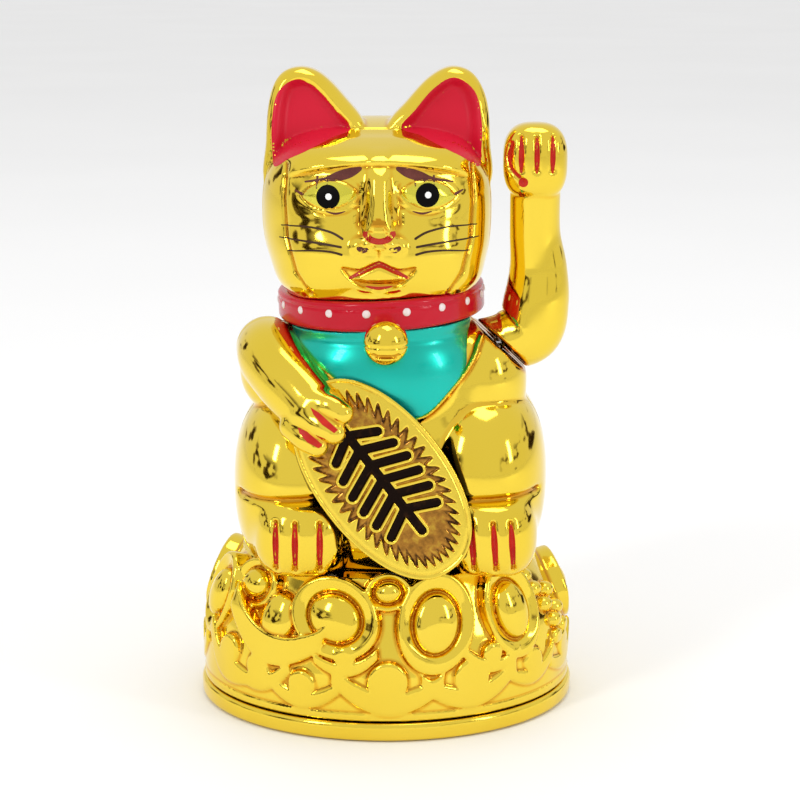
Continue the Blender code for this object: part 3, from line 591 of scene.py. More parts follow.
def finish_material(name, colours, roughness, metallic=0.0, coat=0.0, patch=35.0, shine=0.5):
    """A moulded, lacquered or plated finish with drifting tone, uneven gloss and fine grain."""
    material, nodes, links = new_material(name)
    shader = nodes["Principled BSDF"]
    source = nodes.new("ShaderNodeTexCoord")
    drift = noise_node(nodes, links, patch, 3.0, source)
    tone = ramp_node(nodes, links, drift.outputs["Fac"], ((0.3, colours[0]), (0.7, colours[1])))
    links.new(tone.outputs["Color"], shader.inputs["Base Color"])
    fine = noise_node(nodes, links, 220.0, 4.0, source)
    gloss = range_node(nodes, links, fine.outputs["Fac"], roughness[0], roughness[1])
    links.new(gloss.outputs["Result"], shader.inputs["Roughness"])
    bump = bump_node(nodes, links, fine.outputs["Fac"], 0.02, 0.0004)
    links.new(bump.outputs["Normal"], shader.inputs["Normal"])
    shader.inputs["Metallic"].default_value = metallic
    shader.inputs["Specular IOR Level"].default_value = shine
    shader.inputs["Coat Weight"].default_value = coat
    shader.inputs["Coat Roughness"].default_value = 0.05
    return material


def gold_material(name, fold_shade_strength=0.85, roughness=(0.05, 0.11)):
    """Vacuum-plated gold under tinted lacquer, which pools red-brown in the folds; the folds and joint faces
    also get painted shade, a darker red-brown.
    """
    material, nodes, links = new_material(name)
    shader = nodes["Principled BSDF"]
    source = nodes.new("ShaderNodeTexCoord")
    drift = noise_node(nodes, links, 24.0, 2.0, source)
    tone = ramp_node(nodes, links, drift.outputs["Fac"], (
        (0.3, (0.86, 0.62, 0.055)), (0.7, (0.89, 0.66, 0.072))))
    # the fold attribute multiplies the gold toward dark red-brown: pooled lacquer plus painted shade in the
    # folds and on the joint faces
    fold_shade = nodes.new("ShaderNodeAttribute")
    fold_shade.attribute_name = "fold_shade"
    pooled_lacquer_and_shade = ramp_node(nodes, links, fold_shade.outputs["Fac"], (
        (0.10, (1.0, 1.0, 1.0)), (0.45, (0.93, 0.72, 0.50)), (0.9, (0.62, 0.33, 0.16))))
    mix = nodes.new("ShaderNodeMix")
    mix.data_type = "RGBA"
    mix.blend_type = "MULTIPLY"
    mix.inputs["Factor"].default_value = fold_shade_strength
    links.new(tone.outputs["Color"], mix.inputs["A"])
    links.new(pooled_lacquer_and_shade.outputs["Color"], mix.inputs["B"])
    links.new(mix.outputs["Result"], shader.inputs["Base Color"])
    smudge = noise_node(nodes, links, 90.0, 4.0, source)
    gloss = range_node(nodes, links, smudge.outputs["Fac"], roughness[0], roughness[1])
    links.new(gloss.outputs["Result"], shader.inputs["Roughness"])
    swell = noise_node(nodes, links, 55.0, 1.0, source)
    soft = bump_node(nodes, links, swell.outputs["Fac"], 0.10, 0.0006)
    fine = noise_node(nodes, links, 1400.0, 2.0, source)
    grain = bump_node(nodes, links, fine.outputs["Fac"], 0.02, 0.0001)
    links.new(soft.outputs["Normal"], grain.inputs["Normal"])
    links.new(grain.outputs["Normal"], shader.inputs["Normal"])
    shader.inputs["Metallic"].default_value = 1.0
    return material


GOLD = gold_material("plated_gold")
# the base gets weaker lacquer pooling and painted shade in its folds
GOLD_RIM = gold_material("plated_gold_base", 0.5, (0.07, 0.14))
CRIMSON = finish_material(
    "crimson_lacquer", ((0.50, 0.002, 0.014), (0.60, 0.005, 0.024)), (0.16, 0.26), coat=0.12, shine=0.2)
EAR_RED = finish_material(
    "ear_lacquer", ((0.54, 0.006, 0.022), (0.64, 0.010, 0.036)), (0.30, 0.42), shine=0.2)
CLAW_RED = finish_material(
    "claw_paint", ((0.46, 0.012, 0.008), (0.60, 0.026, 0.012)), (0.3, 0.45), patch=300.0, shine=0.2)
TEAL = finish_material(
    "teal_metallic", ((0.0, 0.44, 0.35), (0.0, 0.54, 0.44)), (0.26, 0.36), metallic=0.75, coat=0.35)
DOT_WHITE = finish_material("dot_white", ((0.80, 0.66, 0.66), (0.88, 0.78, 0.77)), (0.25, 0.4), coat=0.3)
EYE_LIME = finish_material(
    "eye_lime", ((0.62, 0.56, 0.035), (0.72, 0.64, 0.05)), (0.12, 0.2), metallic=0.75, coat=0.4)
PUPIL = finish_material(
    "pupil_black", ((0.002, 0.002, 0.002), (0.005, 0.004, 0.004)), (0.35, 0.5), shine=0.04)
GLINT = finish_material("glint_white", ((0.86, 0.86, 0.84), (0.93, 0.93, 0.92)), (0.25, 0.35))
# dark brown paint for lashes and crow's feet, also used as painted reflection under the brows and painted
# shade in the lid creases and nostrils
SHADE_AND_LASH_BROWN = finish_material(
    "shade_and_lash_brown", ((0.085, 0.018, 0.014), (0.15, 0.04, 0.03)), (0.3, 0.45), patch=260.0, shine=0.2)
WHISKER = finish_material(
    "whisker_brown", ((0.035, 0.014, 0.006), (0.06, 0.024, 0.01)), (0.3, 0.45), patch=260.0, shine=0.2)
NOSE_RED = finish_material(
    "nose_red", ((0.42, 0.014, 0.006), (0.55, 0.03, 0.01)), (0.2, 0.3), coat=0.15, shine=0.25)


# ---------------------------------------------------------------- the cat's body
TORSO = mass((0.0, 1.0, 70.0), (38.0, 33.0, 44.0), 2.5)
CHEST = mass((-1.0, -6.0, 97.0), (28.0, 27.0, 19.0), 2.3)
NECK = mass((-1.3, -0.8, 114.0), (25.4, 29.8, 14.0), 2.6)
HEAD = mass((-2.4, 0.0, 141.3), (32.0, 31.5, 24.7), 2.6)
JAW = mass((-1.8, -1.5, 128.5), (29.0, 31.0, 12.6), 3.2)
FACE_X = -1.6  # the face sits a little to one side of the head
EYE_OUT, EYE_Z = 13.15, 147.9
EYE_HALF_WIDTH, EYE_HALF_HEIGHT = 7.4, 3.7

BODY_MASSES = (  # centre, half sizes, power and blend
    ((0.0, -9.0, 63.0), (27.0, 26.5, 27.0), 2.6, 2.0),  # belly
    ((24.5, -9.0, 93.0), (15.0, 16.5, 17.5), 2.2, 2.5),  # shoulder of the raised arm
    ((-28.8, -9.0, 96.8), (12.0, 14.5, 13.0), 2.1, 2.0),  # shoulder of the resting arm
    ((-25.0, -5.5, 64.5), (17.9, 31.0, 27.0), 2.4, 1.0),  # thighs
    ((26.4, -5.5, 66.5), (19.0, 31.0, 27.5), 2.4, 1.0),
    ((-22.6, -24.0, 54.0), (14.0, 17.5, 13.0), 2.6, 1.6),  # feet
    ((29.0, -24.0, 54.0), (13.0, 17.5, 13.0), 2.6, 1.6),
)

EAR_OUTLINES = {
    "left": ((-32.9, 148.0), (-32.9, 160.0), (-32.0, 171.0), (-29.2, 177.6), (-23.9, TOP_Z - 0.1),
             (-18.0, 178.3), (-11.4, 172.0), (-5.4, 163.5), (-7.0, 152.0), (-20.0, 146.0)),
    "right": ((28.6, 148.0), (28.8, 160.0), (27.9, 171.0), (24.2, 178.0), (18.3, TOP_Z), (12.2, 177.2),
              (6.0, 170.8), (0.2, 163.3), (2.0, 152.0), (16.0, 146.0)),
}
EAR_RIM = 2.7
EAR_FRONT, EAR_BACK = -6.5, 6.5
EAR_LEAN = 4.0
BOWL_DEPTH = 3.6


def ear(side):
    """A rounded upright ear, hollowed in front inside its rim."""
    outline = curve_through(EAR_OUTLINES[side], 6, closed=True)
    half = (EAR_BACK - EAR_FRONT) / 2
    edge = 4.2

    def distance(points):
        flat = outline_distance(points[:, (0, 2)], outline)
        middle = (EAR_FRONT + EAR_BACK) / 2 - EAR_LEAN * smooth_step(180.0, 160.0, points[:, 2])
        over_flat = flat + edge
        over_depth = np.abs(points[:, 1] - middle) - half + edge
        rounded = np.sqrt(np.maximum(over_flat, 0.0) ** 2 + np.maximum(over_depth, 0.0) ** 2)
        body = rounded + np.minimum(np.maximum(over_flat, over_depth), 0.0) - edge
        hollow = BOWL_DEPTH * smooth_step(EAR_RIM - 0.7, EAR_RIM + 4.0, -flat)
        front = smooth_step(0.0, 2.0 - half, points[:, 1] - middle)
        return body + hollow * front

    low = (outline[:, 0].min(), EAR_FRONT - EAR_LEAN, outline[:, 1].min())
    high = (outline[:, 0].max(), EAR_BACK, outline[:, 1].max())
    return Shape(distance, low, high)


def face_relief(points):
    """How far the face stands out from the head's plain round form, in millimetres."""
    u = points[:, 0] - FACE_X
    z = points[:, 2]
    s = np.abs(u)
    brow_line = 155.8 - 0.0060 * u * u
    forehead = smooth_step(-0.9, 0.9, z - brow_line) * (1.0 - smooth_step(157.0, 165.0, z))
    height = 1.3 * forehead * (1.0 - smooth_step(20.0, 28.0, s))
    height -= 1.0 * np.exp(-(((s - 12.5) / 9.6) ** 4) - ((z - 148.6) / 5.4) ** 4)
    # eyeball inside its lids
    across = s - EYE_OUT
    tilt = z - EYE_Z + 0.09 * across
    arc = (EYE_HALF_WIDTH ** 2 + EYE_HALF_HEIGHT ** 2) / (2 * EYE_HALF_HEIGHT)
    offset = arc - EYE_HALF_HEIGHT
    lens = np.maximum(np.hypot(across, tilt + offset), np.hypot(across, tilt - offset)) - arc
    inside = np.clip(-lens / EYE_HALF_HEIGHT, 0.0, 1.0)
    height += 1.3 * np.sqrt(1.0 - (1.0 - inside) ** 2)
    height += 0.25 * hill(lens - 0.6, 0.6)
    # pouch below the eye
    pouch = np.hypot((s - 12.5) / 1.9, z - 146.0) - 3.6
    height -= 0.30 * hill(pouch, 0.5) * (z < 145.0) * smooth_step(18.0, 15.0, s)
    # nose
    bridge_width = np.interp(z, (136.0, 139.5, 145.0, 153.0), (4.0, 3.9, 3.0, 2.7))
    bridge_height = np.interp(z, (132.5, 134.5, 136.5, 139.0, 145.0, 152.0, 156.0, 160.0),
                              (0.0, 0.9, 2.5, 3.3, 2.6, 1.6, 0.6, 0.0))
    height += bridge_height * np.exp(-((s / bridge_width) ** 4))
    valley = smooth_step(138.0, 141.0, z) * (1.0 - smooth_step(149.0, 152.0, z))
    height -= 0.7 * hill(s - 5.6, 1.1) * valley
    height -= 0.4 * np.exp(-((u / 3.0) ** 2) - ((z - 155.0) / 1.8) ** 2)
    # muzzle, nostrils and lip groove
    height += 1.5 * np.exp(-((u / 12.5) ** 4) - ((z - 130.6) / 7.4) ** 4)
    wing = ((s - 4.7) / 2.7) ** 2 + ((z - 134.7) / 2.0) ** 2
    height += 1.1 * np.exp(-(wing ** 2))
    height -= 0.6 * np.exp(-((s - 3.9) / 1.3) ** 2 - ((z - 133.4) / 0.8) ** 2)
    height -= 0.5 * hill(u, 0.7) * smooth_step(129.6, 130.6, z) * (1.0 - smooth_step(133.0, 134.0, z))
    # mouth, lips, chin and cheeks
    flat = np.stack([u, z], axis=1)
    mouth = outline_distance(flat, MOUTH)
    height -= 1.0 * smooth_step(0.35, -0.6, mouth)
    lip = outline_distance(flat, UPPER_LIP)
    height += 1.2 * smooth_step(0.3, -1.0, lip)
    height += 0.9 * np.exp(-((u / 4.6) ** 4) - ((z - 123.0) / 0.75) ** 2)
    height += 1.2 * np.exp(-((u / 7.5) ** 2) - ((z - 119.6) / 2.4) ** 2)
    height += 0.7 * np.exp(-(((s - 17.0) / 7.0) ** 2) - ((z - 134.0) / 7.0) ** 2)
    # the mask's edge down each side of the face
    height -= 0.6 * hill(line_distance(np.stack([s, z], axis=1), MASK_EDGE), 0.6)
    return height * smooth_step(-11.0, -17.0, points[:, 1])


MASK_EDGE = np.array(((24.8, 155.0), (25.4, 146.0), (24.8, 136.0), (22.4, 127.0), (18.5, 121.0)))
MOUTH = curve_through((
    (-10.0, 128.9), (-5.0, 128.5), (0.0, 130.5), (5.0, 128.5), (10.0, 128.9), (7.6, 125.2), (4.0, 122.9),
    (0.0, 122.2), (-4.0, 122.9), (-7.6, 125.2)), 4, closed=True)
UPPER_LIP = np.array(((-7.7, 125.7), (-3.6, 128.0), (0.0, 129.6), (3.6, 128.0), (7.7, 125.7), (3.6, 124.7),
                      (0.0, 124.5), (-3.6, 124.7)))

BIB_OUTLINE = curve_through((
    (-29.0, 114.5), (-28.3, 110.2), (-22.0, 105.0), (-14.0, 98.4), (-4.5, 91.0), (2.5, 88.0), (8.0, 87.0),
    (12.4, 88.8), (17.8, 94.2), (22.3, 99.4), (25.4, 105.5), (26.8, 114.5), (0.0, 116.0)), 4, closed=True)
BIB_PROUD = 1.0

LEFT_ARM = (
    (-33.0, -10.0, 102.8, 8.7), (-31.0, -18.0, 101.0, 9.3),
    (-25.4, -27.0, 96.0, 9.3), (-18.8, -34.0, 89.8, 8.9),
)
TAIL = ((8.0, 27.0, 49.5, 4.0), (16.0, 33.0, 50.0, 5.0), (25.0, 30.0, 52.5, 5.0), (31.0, 21.0, 57.0, 4.4))
PAW_TOES = (
    ((-19.5, -37.0, 93.0, 4.1), (-14.5, -40.2, 92.3, 3.7), (-11.3, -42.0, 91.0, 3.0)),
    ((-21.5, -37.5, 89.3, 4.3), (-17.0, -41.0, 87.6, 3.9), (-13.4, -43.0, 85.9, 3.1)),
    ((-24.5, -36.5, 86.2, 4.0), (-21.0, -40.0, 83.8, 3.7), (-18.0, -42.0, 82.0, 2.9)),
)
FOOT_CLAWS = {"left": (-29.7, -24.4, -17.7), "right": (23.6, 29.6, 34.4)}


def limb_crease(line, width, depth, low_y, high_y):
    """A groove along a line seen from the front."""
    line = np.array(line, float)

    def height(points):
        return -depth * hill(line_distance(points[:, (0, 2)], line), width)

    low = (line[:, 0].min() - 2 * width, low_y, line[:, 1].min() - 2 * width)
    high = (line[:, 0].max() + 2 * width, high_y, line[:, 1].max() + 2 * width)
    return height, low, high


def cat_body():
    """The seated cat without its raised arm; trimmed() later hollows it round the mechanism."""
    cat = Solid()
    cat.join(TORSO)
    cat.join(CHEST, 3.0)
    for centre, half, power, blend in BODY_MASSES:
        cat.join(mass(centre, half, power), blend)
    cat.join(NECK, 1.5)
    cat.join(HEAD, 1.0)
    cat.join(JAW, 4.0)
    brow = half_space((0.0, -4.0, 166.0), (0.0, -0.34, 0.94), (-40.0, -40.0, 146.0), (40.0, 14.0, 172.0))
    cat.stroke(lambda f, p: smooth_max(f, brow.distance(p), 5.0), brow.low, brow.high)
    for side in ("left", "right"):
        cat.join(ear(side), 0.8)
    cat.raise_by(face_relief, (-30.0, -40.0, 115.0), (27.0, -11.0, 166.0))
    cat.join(limb(TAIL), 0.8)
    return cat


def feet(cat):
    """Toes parted by slits on both feet."""
    for side, claws in FOOT_CLAWS.items():
        for x in claws:
            lean = 0.0 if side == "left" else -0.07
            line = ((x + lean * 6.0, 60.0), (x, 54.0), (x - lean * 6.0, 47.0))
            cat.raise_by(*limb_crease(line, 0.75, 1.1, -46.0, -25.0))
        low_x, high_x = claws[0] - 7.0, claws[2] + 7.0
        cat.raise_by(*limb_crease(((low_x - 3.0, 64.8), (high_x, 66.0)), 1.2, 1.3, -46.0, -14.0))


def resting_arm(cat):
    cat.join(limb(LEFT_ARM), 0.9)
    for toe in PAW_TOES:
        cat.join(limb(toe, 8), 1.0)


def shoulder_pocket(points):
    """Outside the slanted shoulder flat: all of it above the axle, a round pocket below."""
    beyond = (FACET_X - FACET_SLOPE * (points[:, 2] - AXLE_Z) - points[:, 0]) * 0.69
    across = np.hypot(points[:, 1] - AXLE_Y, points[:, 2] - AXLE_Z) - POCKET_RADIUS
    return np.maximum(beyond, np.minimum(across, AXLE_Z + 1.0 - points[:, 2]))


def trimmed(cat):
    """Cuts for the collar, the shoulder flat, the flat bottom and the hollow inside."""
    far = 80.0
    cat.cut(half_space((0, 0, BODY_BOTTOM), (0, 0, 1), (-far, -far, 30.0), (far, far, BODY_BOTTOM)), 0.3)
    cat.cut(Shape(shoulder_pocket, (18.0, -40.0, 86.0), (60.0, 20.0, 114.0)), 0.5)
    cat.cut(collar_shape(GAP), 0.2)
    cat.cut(mass((2.0, -7.0, 76.0), (21.0, 20.0, 42.0), 6.0), 0.3)
    cat.cut(rod((15.0, AXLE_Y, AXLE_Z), (36.0, AXLE_Y, AXLE_Z), 3.1), 0.2)


def collar_shape(grow=0.0):
    """A rounded band round the neck with a bead along its upper edge."""
    roll = np.array(Matrix.Rotation(COLLAR_ROLL, 3, "Y"))
    mid = COLLAR_HALF - COLLAR_DEPTH / 2

    def distance(points):
        local = (points - COLLAR_CENTRE) @ roll
        across = oval_side(local[:, 0], local[:, 1], *mid)
        edge = 1.35
        over_side = np.abs(across) - (COLLAR_DEPTH / 2 + grow) + edge
        over_up = np.abs(local[:, 2]) - (COLLAR_HEIGHT / 2 + grow) + edge
        outside = np.hypot(np.maximum(over_side, 0.0), np.maximum(over_up, 0.0))
        band = outside + np.minimum(np.maximum(over_side, over_up), 0.0) - edge
        if grow:
            return band
        groove = hill(local[:, 2] - 2.1, 0.35) * (across > 0.0)
        return band + 0.3 * groove

    return Shape(distance, COLLAR_LOW - grow, COLLAR_HIGH + grow)


def bib_edge(cat):
    """The raised gold cord round the bib."""
    open_edge = BIB_OUTLINE[4:-4]

    def height(points):
        return 1.35 * hill(line_distance(points[:, (0, 2)], open_edge), 0.55)

    cat.raise_by(height, (-31.0, -46.0, 85.0), (28.0, -15.0, 114.0))


def build_cat():
    cat = cat_body()
    feet(cat)
    bib_edge(cat)
    resting_arm(cat)
    trimmed(cat)
    front = cat.part(1, -1, SEAM_Y, HAIRLINE)
    rear = cat.part(1, 1, SEAM_Y, HAIRLINE)
    skin("cat_front", front, 0.45, GOLD, ("body_front_shell",), joint=shoulder_pocket)
    skin("cat_rear", rear, 0.7, GOLD, ("body_rear_shell",), joint=shoulder_pocket)
    return cat


# ---------------------------------------------------------------- paint on the cat
def circle(centre, radius, sides=40):
    turns = np.linspace(0.0, math.tau, sides, endpoint=False)
    return np.array(centre) + radius * np.stack([np.cos(turns), np.sin(turns)], axis=1)


# distances out from the middle of the face, and heights
PUPILS = {-1: (-15.1, 147.3), 1: (11.3, 147.7)}
ALMOND = (
    (-7.2, -0.2), (-4.2, 2.3), (0.0, 3.3), (4.0, 2.2), (7.2, -0.6), (4.0, -2.7), (0.0, -3.3), (-4.2, -2.5),
)
# line of the brown bar painted under each brow ridge: a painted reflection
BROW_REFLECTION_LINE = ((4.8, 154.7), (7.6, 153.6), (11.0, 152.6), (14.5, 151.8), (19.8, 150.9))
LASHES = {-1: ((13.6, 1.5), (16.4, 1.6)), 1: ((9.5, 1.2), (12.0, 1.5), (14.6, 1.6))}
WHISKER_LINES = (
    ((9.6, 136.4), (13.0, 138.1), (19.0, 139.2), (26.4, 138.9)),
    ((10.0, 134.3), (15.0, 135.0), (21.0, 135.5), (27.0, 135.6)),
    ((9.8, 132.3), (13.0, 133.0), (18.0, 133.1), (24.5, 132.3)),
)


def on_face(side, places):
    """Places given as (out from the middle of the face, height), for one side."""
    return [(FACE_X + side * out, z) for out, z in places]


def paint_face(cat):
    start = -48.0  # in front of the whole cat
    almonds, pupils, glints, shade_and_lash_strokes, whiskers = [], [], [], [], []
    for side, (x, z) in PUPILS.items():
        middle = FACE_X + side * EYE_OUT
        almonds.append(curve_through([(middle + side * a, EYE_Z + b) for a, b in ALMOND], 5, closed=True))
        pupils.append(circle((x, z), 3.15))
        glints.append(circle((x + 0.15, z + 0.1), 0.85, 20))
        # painted reflection: a brown bar under the brow ridge
        shade_and_lash_strokes.append(brush(on_face(side, BROW_REFLECTION_LINE), (1.0, 2.5, 2.4, 0.9, 0.45)))
        for lash, tall in LASHES[side]:
            foot = 151.2 - 0.05 * (lash - 12.0)
            stroke = ((lash, foot + tall), (lash + 0.2, foot - tall))
            shade_and_lash_strokes.append(brush(on_face(side, stroke), (0.55, 0.4)))
        shade_and_lash_strokes.append(brush(on_face(side, ((22.5, 148.6), (20.4, 147.6))), (0.4, 0.9)))
        # painted shade: a brown arc in the groove under each eye
        shade_and_lash_strokes.append(brush(on_face(side, ((9.0, 143.5), (11.5, 142.9), (14.0, 143.4))), (0.25, 0.6, 0.25)))
        whiskers += [brush(on_face(side, line), (0.65, 0.6, 0.5, 0.3)) for line in WHISKER_LINES]
    films("eye_almonds", cat, almonds, start, EYE_LIME)
    films("eye_pupils", cat, pupils, start, PUPIL, FINE_STEP, PUPIL_LIFT)
    films("eye_glints", cat, glints, start, GLINT, 0.3, GLINT_LIFT)
    films("brow_reflections_and_lashes", cat, shade_and_lash_strokes, start, SHADE_AND_LASH_BROWN, FINE_STEP)
    films("whiskers", cat, whiskers, start, WHISKER, FINE_STEP)
    pad = brush(on_face(1, ((-3.7, 138.1), (-2.2, 136.6), (0.1, 136.0), (2.4, 136.6), (3.9, 138.1))),
                (1.7, 1.7, 1.6, 1.7, 1.7))
    # painted shade: brown strokes in the nostril dents
    nostrils = [brush(on_face(side, ((5.6, 134.2), (4.3, 133.6), (3.0, 133.9))), (0.9, 1.5, 0.9))
                for side in (-1, 1)]
    films("nose_pad", cat, [pad], start, NOSE_RED, FINE_STEP)
    films("nostrils", cat, nostrils, start, SHADE_AND_LASH_BROWN, FINE_STEP)
    lips = [
        brush(on_face(1, ((-7.9, 125.9), (-4.0, 127.9), (0.0, 129.6), (4.0, 127.9), (7.9, 125.9))),
              (0.7, 1.2, 1.4, 1.2, 0.7)),
        brush(on_face(1, ((-3.4, 123.6), (0.0, 123.1), (3.4, 123.6))), (0.4, 0.9, 0.4)),
    ]
    films("lips", cat, lips, start, NOSE_RED, FINE_STEP)


def paint_ears(cat):
    linings = (
        ((-31.0, 158.0), (-31.0, 166.0), (-29.4, 173.2), (-24.6, 176.6), (-19.0, 174.2), (-14.0, 168.6),
         (-9.6, 163.6), (-14.6, 161.6), (-20.5, 159.0), (-26.0, 156.4), (-30.2, 153.8)),
        ((26.3, 158.0), (26.3, 166.0), (24.4, 173.6), (18.8, 177.2), (13.2, 174.2), (8.4, 168.8),
         (4.4, 163.8), (9.8, 162.0), (15.4, 159.6), (20.8, 157.0), (25.6, 153.8)),
    )
    shapes = [curve_through(points, 5, closed=True) for points in linings]
    films("ear_linings", cat, shapes, -45.0, EAR_RED, 0.6)


def paint_claws(cat):
    strokes = []
    for side, claws in FOOT_CLAWS.items():
        lean = 0.0 if side == "left" else -0.07
        for x in claws:
            knots = [(x + lean * 5.5, 59.6), (x + lean * 3.0, 57.0), (x, 53.5), (x - lean * 5.5, 48.3)]
            strokes.append(brush(knots, (0.5, 1.5, 1.7, 1.1)))
    films("foot_claws", cat, strokes, -60.0, CLAW_RED)
    wedges = [
        np.array(((-19.8, 92.8), (-17.6, 91.6), (-12.4, 87.4), (-13.4, 86.6), (-16.6, 88.6), (-19.0, 91.0))),
        np.array(((-23.2, 87.2), (-20.8, 86.4), (-16.4, 83.0), (-17.6, 82.2), (-20.6, 83.6), (-22.8, 85.8))),
    ]
    films("paw_claws", cat, wedges, -60.0, CLAW_RED)


# ---------------------------------------------------------------- trim
def build_collar():
    collar = Solid()
    collar.join(collar_shape())
    skin("neck_collar", collar, 0.45, CRIMSON, ("collar",), with_fold_shade=False)


def collar_point(angle):
    """A place on the collar's outer face and the way it faces; angle 0 is the front."""
    roll = np.array(Matrix.Rotation(COLLAR_ROLL, 3, "Y"))
    flat = np.array((math.sin(angle) * COLLAR_HALF[0], -math.cos(angle) * COLLAR_HALF[1], 0.0))
    facing = np.array((math.sin(angle) / COLLAR_HALF[0], -math.cos(angle) / COLLAR_HALF[1], 0.0))
    return COLLAR_CENTRE + roll @ flat, roll @ (facing / np.linalg.norm(facing))


DOT_COUNT = 18
DOT_HALF = (1.15, 0.5, 1.15)


def build_dots():
    """A ring of evenly spaced white beads on the collar."""
    turns = np.linspace(0.0, math.tau, 721)
    places = np.array([collar_point(turn)[0] for turn in turns])
    run = np.concatenate([[0.0], np.cumsum(np.linalg.norm(np.diff(places, axis=0), axis=1))])
    upright = np.array((0.0, 0.0, 1.0))
    used, points, quads = 0, [], []
    for index in range(DOT_COUNT):
        share = ((index + 0.66) / DOT_COUNT) % 1.0
        angle = float(np.interp(share * run[-1], run, turns))
        place, facing = collar_point(angle)
        side = np.cross(upright, facing)
        frame_turn = np.stack([side, facing, np.cross(side, facing)], axis=1)
        bead = Solid()
        bead.join(mass(place - facing * 0.1 + upright * 0.9, DOT_HALF, 2.0, frame_turn))
        some_points, some_quads = mesh_data(bead, 0.3)
        points.append(some_points)
        quads.append(some_quads + used)
        used += len(some_points)
    obj = mesh_object("collar_dots", np.concatenate(points), np.concatenate(quads), DOT_WHITE)
    finish_piece(obj, "figure", ())


def build_bell():
    """A pressed round bell with its waist band, slot and the lug that hangs it."""
    bell = Solid()
    bell.join(mass(BELL_CENTRE, (BELL_RADIUS,) * 3, 2.0))
    collar_front = COLLAR_CENTRE[1] - COLLAR_HALF[1]
    lug_z = BELL_CENTRE[2] + 3.2
    x, y = BELL_CENTRE[:2]
    bell.join(rod((x, y, lug_z), (x, collar_front - GAP, lug_z), 1.2), 0.4)
    waist = BELL_CENTRE[2]
    bell.raise_by(lambda p: -0.25 * hill(p[:, 2] - waist + 0.4, 0.3), BELL_CENTRE - 7.0, BELL_CENTRE + 7.0)
    slot_low = BELL_CENTRE + np.array((-3.0, -7.0, -3.3))
    slot_high = BELL_CENTRE + np.array((3.0, -3.9, -2.3))
    bell.cut(block(slot_low, slot_high, 0.3), 0.3)
    for side in (-1.0, 1.0):
        eye = BELL_CENTRE + np.array((side * 3.0, -7.0, -2.8))
        bell.cut(rod(eye, eye + np.array((0.0, 3.4, 0.0)), 0.8), 0.2)
    skin("round_bell", bell, 0.3, GOLD, ("bell",))


def grown(shape, by):
    return Shape(lambda points: shape.distance(points) - by, shape.low - by, shape.high + by)


def build_bib():
    """The teal bib, a low plate that follows the chest inside its gold cord."""
    bib = Solid()
    chest = Solid()
    chest.join(grown(TORSO, BIB_PROUD))
    chest.join(grown(CHEST, BIB_PROUD), 3.0)
    chest.join(grown(NECK, BIB_PROUD), 1.5)

    def distance(points):
        flat = outline_distance(points[:, (0, 2)], BIB_OUTLINE)
        plate = smooth_max(chest.distance(points), flat + 0.2, 0.5)
        back = points[:, 1] + 15.0
        return np.maximum(np.maximum(plate, back), -chest.distance(points) - 2.4)

    low = (-30.0, -37.0, 86.0)
    high = (28.0, -15.0, 117.0)
    bib.join(Shape(distance, low, high))
    bib.cut(collar_shape(GAP), 0.1)
    skin("chest_bib", bib, 0.45, TEAL, ("bib",), with_fold_shade=False)


# ---------------------------------------------------------------- koban coin
COIN_RIM, TOOTH_LENGTH = 3.2, 2.6
TEETH = 46
COIN_BACK = -1.7
CHANNEL_HALF, FIELD_HEIGHT = 1.15, 0.55


def coin_outline(grow=0.0, sides=120):
    """A long oval with slightly pointed ends, along its own x axis."""
    turns = np.linspace(0.0, math.tau, sides, endpoint=False)
    along = (COIN_HALF_LENGTH + grow) * np.cos(turns)
    across = (COIN_HALF_WIDTH + grow) * np.sign(np.sin(turns)) * np.abs(np.sin(turns)) ** 0.85
    return np.stack([along, across], axis=1)


def ornament_lines():
    """A feather: a spine with slanted barbs on both sides; x runs along the coin."""
    lines = [np.array(((-17.5, 0.0), (17.5, 0.0)))]
    for x in np.linspace(-14.5, 10.5, 6):
        reach = 9.4 * math.sqrt(1.0 - (x + 1.0) ** 2 / 420.0)
        for side in (-1.0, 1.0):
            lines.append(np.array(((x, side * 1.0), (x + 3.4, side * reach))))
    return lines


def coin_height(flat):
    """Height of the coin's face over its deepest cut: rim, teeth, field and the feather's outline."""
    edge = -outline_distance(flat, coin_outline())
    turn = np.arctan2(flat[:, 1] / COIN_HALF_WIDTH, flat[:, 0] / COIN_HALF_LENGTH)
    wave = 0.5 + 0.5 * np.cos(turn * TEETH)
    tooth_end = COIN_RIM + TOOTH_LENGTH * wave
    border = smooth_step(tooth_end + 0.35, tooth_end - 0.35, edge)
    best = np.full(len(flat), 1e9)
    for line in ornament_lines():
        best = np.minimum(best, line_distance(flat, line))
    channel = smooth_step(CHANNEL_HALF + 0.2, CHANNEL_HALF - 0.2, best)
    walls = smooth_step(0.6, 0.3, np.abs(best - CHANNEL_HALF - 0.45)) * (1.0 - border)
    field = FIELD_HEIGHT * (1.0 - channel) - 0.25 * hill(edge - tooth_end - 0.8, 0.6)
    line = 0.3 * hill(edge - 1.2, 0.35)
    return np.maximum(np.maximum(field, 1.15 * walls), 1.15 * border - line)


def coin_frame():
    """Columns: along the coin, across it, and out of its face."""
    lean = np.array(Matrix.Rotation(COIN_LEAN, 3, "X"))
    along = lean @ np.array((math.cos(COIN_TURN), 0.0, -math.sin(COIN_TURN)))
    outward = lean @ np.array((0.0, -1.0, 0.0))
    across = np.cross(outward, along)
    return np.stack([along, across, outward], axis=1)


